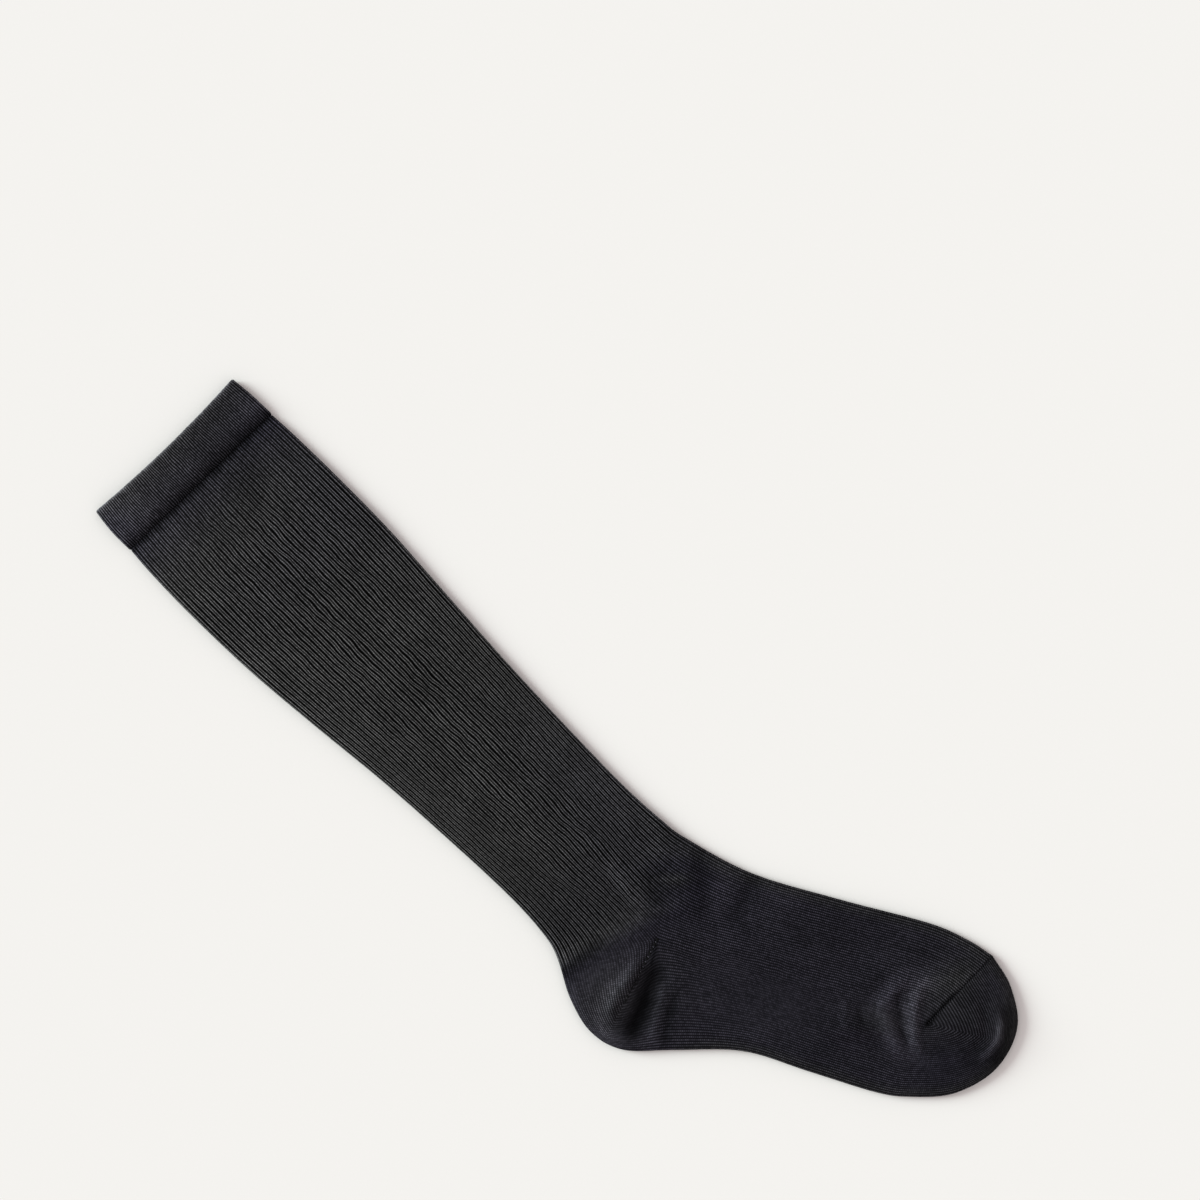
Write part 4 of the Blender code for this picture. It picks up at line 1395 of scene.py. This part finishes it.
def plan_area(patch):
    """Area of a stretch seen from above, in square metres."""
    grid = np.linspace(0.0, 1.0, 60)
    plan = patch.at(*np.meshgrid(grid, grid))
    first = plan[1:, 1:] - plan[:-1, :-1]
    second = plan[1:, :-1] - plan[:-1, 1:]
    return abs(first[..., 0] * second[..., 1] - first[..., 1] * second[..., 0]).sum() / 2 * MM**2


def knit_stretch(cloth, shell, node, down, knit, seed):
    """Knit one stretch with its relief, attach it to the root, and hide the part of the model that
    it stands for.
    """
    piece = knit_shell(shell, down)
    tree = bpy.data.node_groups.get("Knit relief") or relief_tree()
    values = {
        "Rib height": cloth.rib_height,
        "Wale height": cloth.wale_height * shell.relief,
        "Seed": seed,
        "Material": knit,
    }
    apply_tree(piece, tree, values)
    area = 2 * plan_area(shell.patch)
    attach(piece, "root")
    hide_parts(node)


class MakeCuff(bpy.types.Operator):
    """Knit the doubled welt at the stocking's top"""

    bl_idname = "stocking.make_cuff"
    bl_label = "Welt"
    bl_options = {"REGISTER", "UNDO"}

    def execute(self, context):
        cloth, hues = context.scene.stocking_cloth, context.scene.stocking_colours
        wall = cloth.welt_wall / MM
        shell = Shell(
            "cuff_welt",
            WELT,
            wall,
            82,
            folds=(BACK_OF_WELT, FRONT_OF_WELT),
            loft=welt_loft,
            ribbed=no_ribs,
            rims=(wall / 2, wall * 0.8),
            relief=1.3,
            wobble=0.5,
        )
        # Rows lie closer where the wall is rounded, at the top and at the groove
        ends = 1 - np.cos(np.linspace(0, math.pi / 2, 7)[:-1])
        down = np.concatenate([ends * 0.05, np.linspace(0.05, 0.9, 20), 1 - ends[::-1] * 0.08])
        down = np.unique(np.round(down, 6))
        # The welt's gaps take near-black painted shade
        looks = {"gap_shade": 0.02, "bead_tones": (0.5, 1.37), "odd": 0.4}
        knit = knit_material("Doubled welt knit", hues, hues.welt_yarn, **looks)
        knit_stretch(cloth, shell, "cuff", down, knit, 1.0)
        return {"FINISHED"}


class MakeLeg(bpy.types.Operator):
    """Knit the ribbed leg"""

    bl_idname = "stocking.make_leg"
    bl_label = "Ribbed leg"
    bl_options = {"REGISTER", "UNDO"}

    def execute(self, context):
        cloth, hues = context.scene.stocking_cloth, context.scene.stocking_colours
        shell = Shell(
            "leg_ribs",
            LEG,
            cloth.leg_wall / MM,
            72,
            samples=LEG_SAMPLES,
            rims=(0.6, 0.0),
            wobble=0.55,
            crowding=leg_crowding,
        )
        down = np.concatenate([ROWS_AT_WELT, np.linspace(0.007, 1.0, 150)])
        knit = knit_material("Charcoal rib knit", hues, hues.plain_yarn)
        knit_stretch(cloth, shell, "leg", down, knit, 2.0)
        return {"FINISHED"}


class MakeHeel(bpy.types.Operator):
    """Knit the heel pocket"""

    bl_idname = "stocking.make_heel"
    bl_label = "Heel pocket"
    bl_options = {"REGISTER", "UNDO"}

    def execute(self, context):
        cloth, hues = context.scene.stocking_cloth, context.scene.stocking_colours
        shell = Shell("heel_pocket", HEEL, cloth.plain_wall / MM, 36, pocket=True)
        down = pocket_rows(42, seamed=False)
        knit = knit_material("Navy-black heel knit", hues, hues.plain_yarn)
        knit_stretch(cloth, shell, "heel", down, knit, 3.0)
        return {"FINISHED"}


class MakeFoot(bpy.types.Operator):
    """Knit the plain foot"""

    bl_idname = "stocking.make_foot"
    bl_label = "Plain foot"
    bl_options = {"REGISTER", "UNDO"}

    def execute(self, context):
        cloth, hues = context.scene.stocking_cloth, context.scene.stocking_colours
        wall = cloth.plain_wall / MM
        shell = Shell("foot_plain", FOOT, wall, 72, wobble=0.4, crowding=foot_crowding)
        down = np.concatenate([np.linspace(0.0, 0.985, 140), ROWS_AT_SEAM])
        knit = knit_material("Navy-black plain knit", hues, hues.plain_yarn)
        knit_stretch(cloth, shell, "foot", down, knit, 4.0)
        return {"FINISHED"}


class MakeToe(bpy.types.Operator):
    """Knit the toe pocket"""

    bl_idname = "stocking.make_toe"
    bl_label = "Toe pocket"
    bl_options = {"REGISTER", "UNDO"}

    def execute(self, context):
        cloth, hues = context.scene.stocking_cloth, context.scene.stocking_colours
        shell = Shell("toe_pocket", TOE, cloth.plain_wall / MM, 36, pocket=True)
        down = pocket_rows(42, seamed=True)
        knit = knit_material("Navy-black toe knit", hues, hues.plain_yarn)
        knit_stretch(cloth, shell, "toe", down, knit, 5.0)
        return {"FINISHED"}


# Beads along a line: how far along they end, as a share; how high they lie and where they
# start, in mm; their spacing and their length, width and height, in mm; and their turn
Beads = namedtuple("Beads", "name slot line until lift skip spacing size turn yarn")


def line_on_cloth(beads):
    """A thin line of points that lies on the upper cloth, where the beads go."""
    line = beads.line
    run = np.linalg.norm(line.end - line.start)
    share = np.linspace(0.01 + beads.skip / run, beads.until, 60)[:, None]
    plan = blend(line.start, line.end, share)
    edge = np.minimum(BACK.distance(plan), FRONT.distance(plan))
    lean = 1 - np.minimum(edge / fold_run(plan), 1.0)
    height = tube_loft(plan) / 2 * (1 + np.sqrt(1 - lean**2)) + beads.lift
    mesh = bpy.data.meshes.new(beads.name)
    mesh.from_pydata(world(plan, height), [(i, i + 1) for i in range(len(plan) - 1)], [])
    return put_in_scene(beads.name, mesh)


class MakeStitches(bpy.types.Operator):
    """Work the heel's eyelets and the toe's linked seam"""

    bl_idname = "stocking.make_stitches"
    bl_label = "Eyelets and toe seam"
    bl_options = {"REGISTER", "UNDO"}

    def execute(self, context):
        tree = beads_tree()
        dark = yarn_material("Shade inside an eyelet", "#060607", 1.0)
        pale = yarn_material("Heel gore yarn", "#5a5961", 0.9)
        link = yarn_material("Linking yarn", "#2b2a30", 0.9)
        rows = (
            ("gore_eyelets", "heel_knit", GORE, 0.6, 0.28, 0.0, 2.84, (1.9, 1.15, 0.5), 0.4, dark),
            ("gore_bars", "heel_knit", GORE, 0.6, 0.15, 1.42, 2.84, (1.3, 0.45, 0.45), 1.2, pale),
            ("toe_linking", "toe_knit", TOE_SEAM, 0.97, 0.1, 0.0, 1.3, (1.3, 0.5, 0.4), 1.1, link),
        )
        for seed, row in enumerate(rows):
            beads = Beads(*row)
            piece = line_on_cloth(beads)
            values = {"Turn": beads.turn, "Seed": seed, "Material": beads.yarn}
            for label, size in zip(("length", "width", "height"), beads.size):
                values[f"Bead {label}"] = size * MM
            apply_tree(piece, tree, {"Spacing": beads.spacing * MM, **values})
            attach(piece, "root")
        return {"FINISHED"}


# ------------------------------------------------------------------ studio


class MakeStage(bpy.types.Operator):
    """Lay the floor, set the light and place the camera"""

    bl_idname = "stocking.make_stage"
    bl_label = "Studio"
    bl_options = {"REGISTER", "UNDO"}

    VIEW_WIDTH = 0.642  # what the square view spans on the floor
    VIEW_CENTRE = (0.0764, 0.0514)
    VIEW_TURN = -45.0  # the leg lies aslant across the view
    LENS = 120.0
    FLOOR_REACH = 8.0
    KEY_HEIGHT = 21.0  # of the window light over the floor, in degrees
    KEY_SOFTNESS = 30.0  # the angle that the window takes up
    KEY_FROM = 16.0  # and how far it comes from above the view's left

    def execute(self, context):
        scene, studio = context.scene, context.scene.stocking_studio
        mesh = bpy.data.meshes.new("floor_paper")
        reach = self.FLOOR_REACH
        corners = [(-reach, -reach, 0), (reach, -reach, 0), (reach, reach, 0), (-reach, reach, 0)]
        mesh.from_pydata(corners, [], [(0, 1, 2, 3)])
        mesh.materials.append(paper_material("Pale studio paper", studio.floor))
        put_in_scene("floor_paper", mesh)

        turn = Matrix.Rotation(math.radians(self.VIEW_TURN), 4, "Z")
        camera = put_in_scene("camera", bpy.data.cameras.new("camera"))
        camera.data.lens = self.LENS
        away = self.VIEW_WIDTH * self.LENS / camera.data.sensor_width
        camera.matrix_world = Matrix.Translation((*self.VIEW_CENTRE, away)) @ turn
        camera.data.clip_end = 50.0
        scene.camera = camera

        key = put_in_scene("key", bpy.data.lights.new("key", "SUN"))
        key.data.energy = studio.key_strength
        key.data.color = studio.key[:3]
        key.data.angle = math.radians(self.KEY_SOFTNESS)
        height, aside = math.radians(self.KEY_HEIGHT), math.radians(self.KEY_FROM)
        level = math.cos(height)
        towards = Vector((level * math.cos(aside), -level * math.sin(aside), -math.sin(height)))
        towards.rotate(turn)
        key.rotation_mode = "QUATERNION"
        key.rotation_quaternion = towards.to_track_quat("-Z", "Y")

        world_light = bpy.data.worlds.new("studio")
        world_light.use_nodes = True
        background = world_light.node_tree.nodes["Background"]
        background.inputs["Color"].default_value = studio.shade
        background.inputs["Strength"].default_value = studio.fill_strength
        scene.world = world_light
        scene.view_settings.view_transform = "Standard"
        return {"FINISHED"}


OPERATORS = (MakeStage, MakeCuff, MakeLeg, MakeHeel, MakeFoot, MakeToe, MakeStitches)


class StockingPanel(bpy.types.Panel):
    """Lists the stocking's makers and settings"""

    bl_idname = "VIEW3D_PT_stocking"
    bl_label = "Compression stocking"
    bl_space_type = "VIEW_3D"
    bl_region_type = "UI"
    bl_category = "Stocking"

    def draw(self, context):
        for group in ("stocking_cloth", "stocking_colours", "stocking_studio"):
            settings = getattr(context.scene, group)
            box = self.layout.box()
            for name in settings.__annotations__:
                box.prop(settings, name)
        for operator in OPERATORS:
            self.layout.operator(operator.bl_idname)


GROUPS = {
    "stocking_cloth": StockingCloth,
    "stocking_colours": StockingColours,
    "stocking_studio": StockingStudio,
}
CLASSES = (*GROUPS.values(), *OPERATORS, StockingPanel)


def register():
    for known in CLASSES:
        bpy.utils.register_class(known)
    for name, group in GROUPS.items():
        setattr(bpy.types.Scene, name, bpy.props.PointerProperty(type=group))


def unregister():
    for name in GROUPS:
        delattr(bpy.types.Scene, name)
    for known in reversed(CLASSES):
        bpy.utils.unregister_class(known)


def main():
    register()
    bpy.ops.stocking.make_stage()
    bpy.ops.stocking.make_cuff()
    bpy.ops.stocking.make_leg()
    bpy.ops.stocking.make_heel()
    bpy.ops.stocking.make_foot()
    bpy.ops.stocking.make_toe()
    bpy.ops.stocking.make_stitches()


if __name__ == "__main__":
    main()
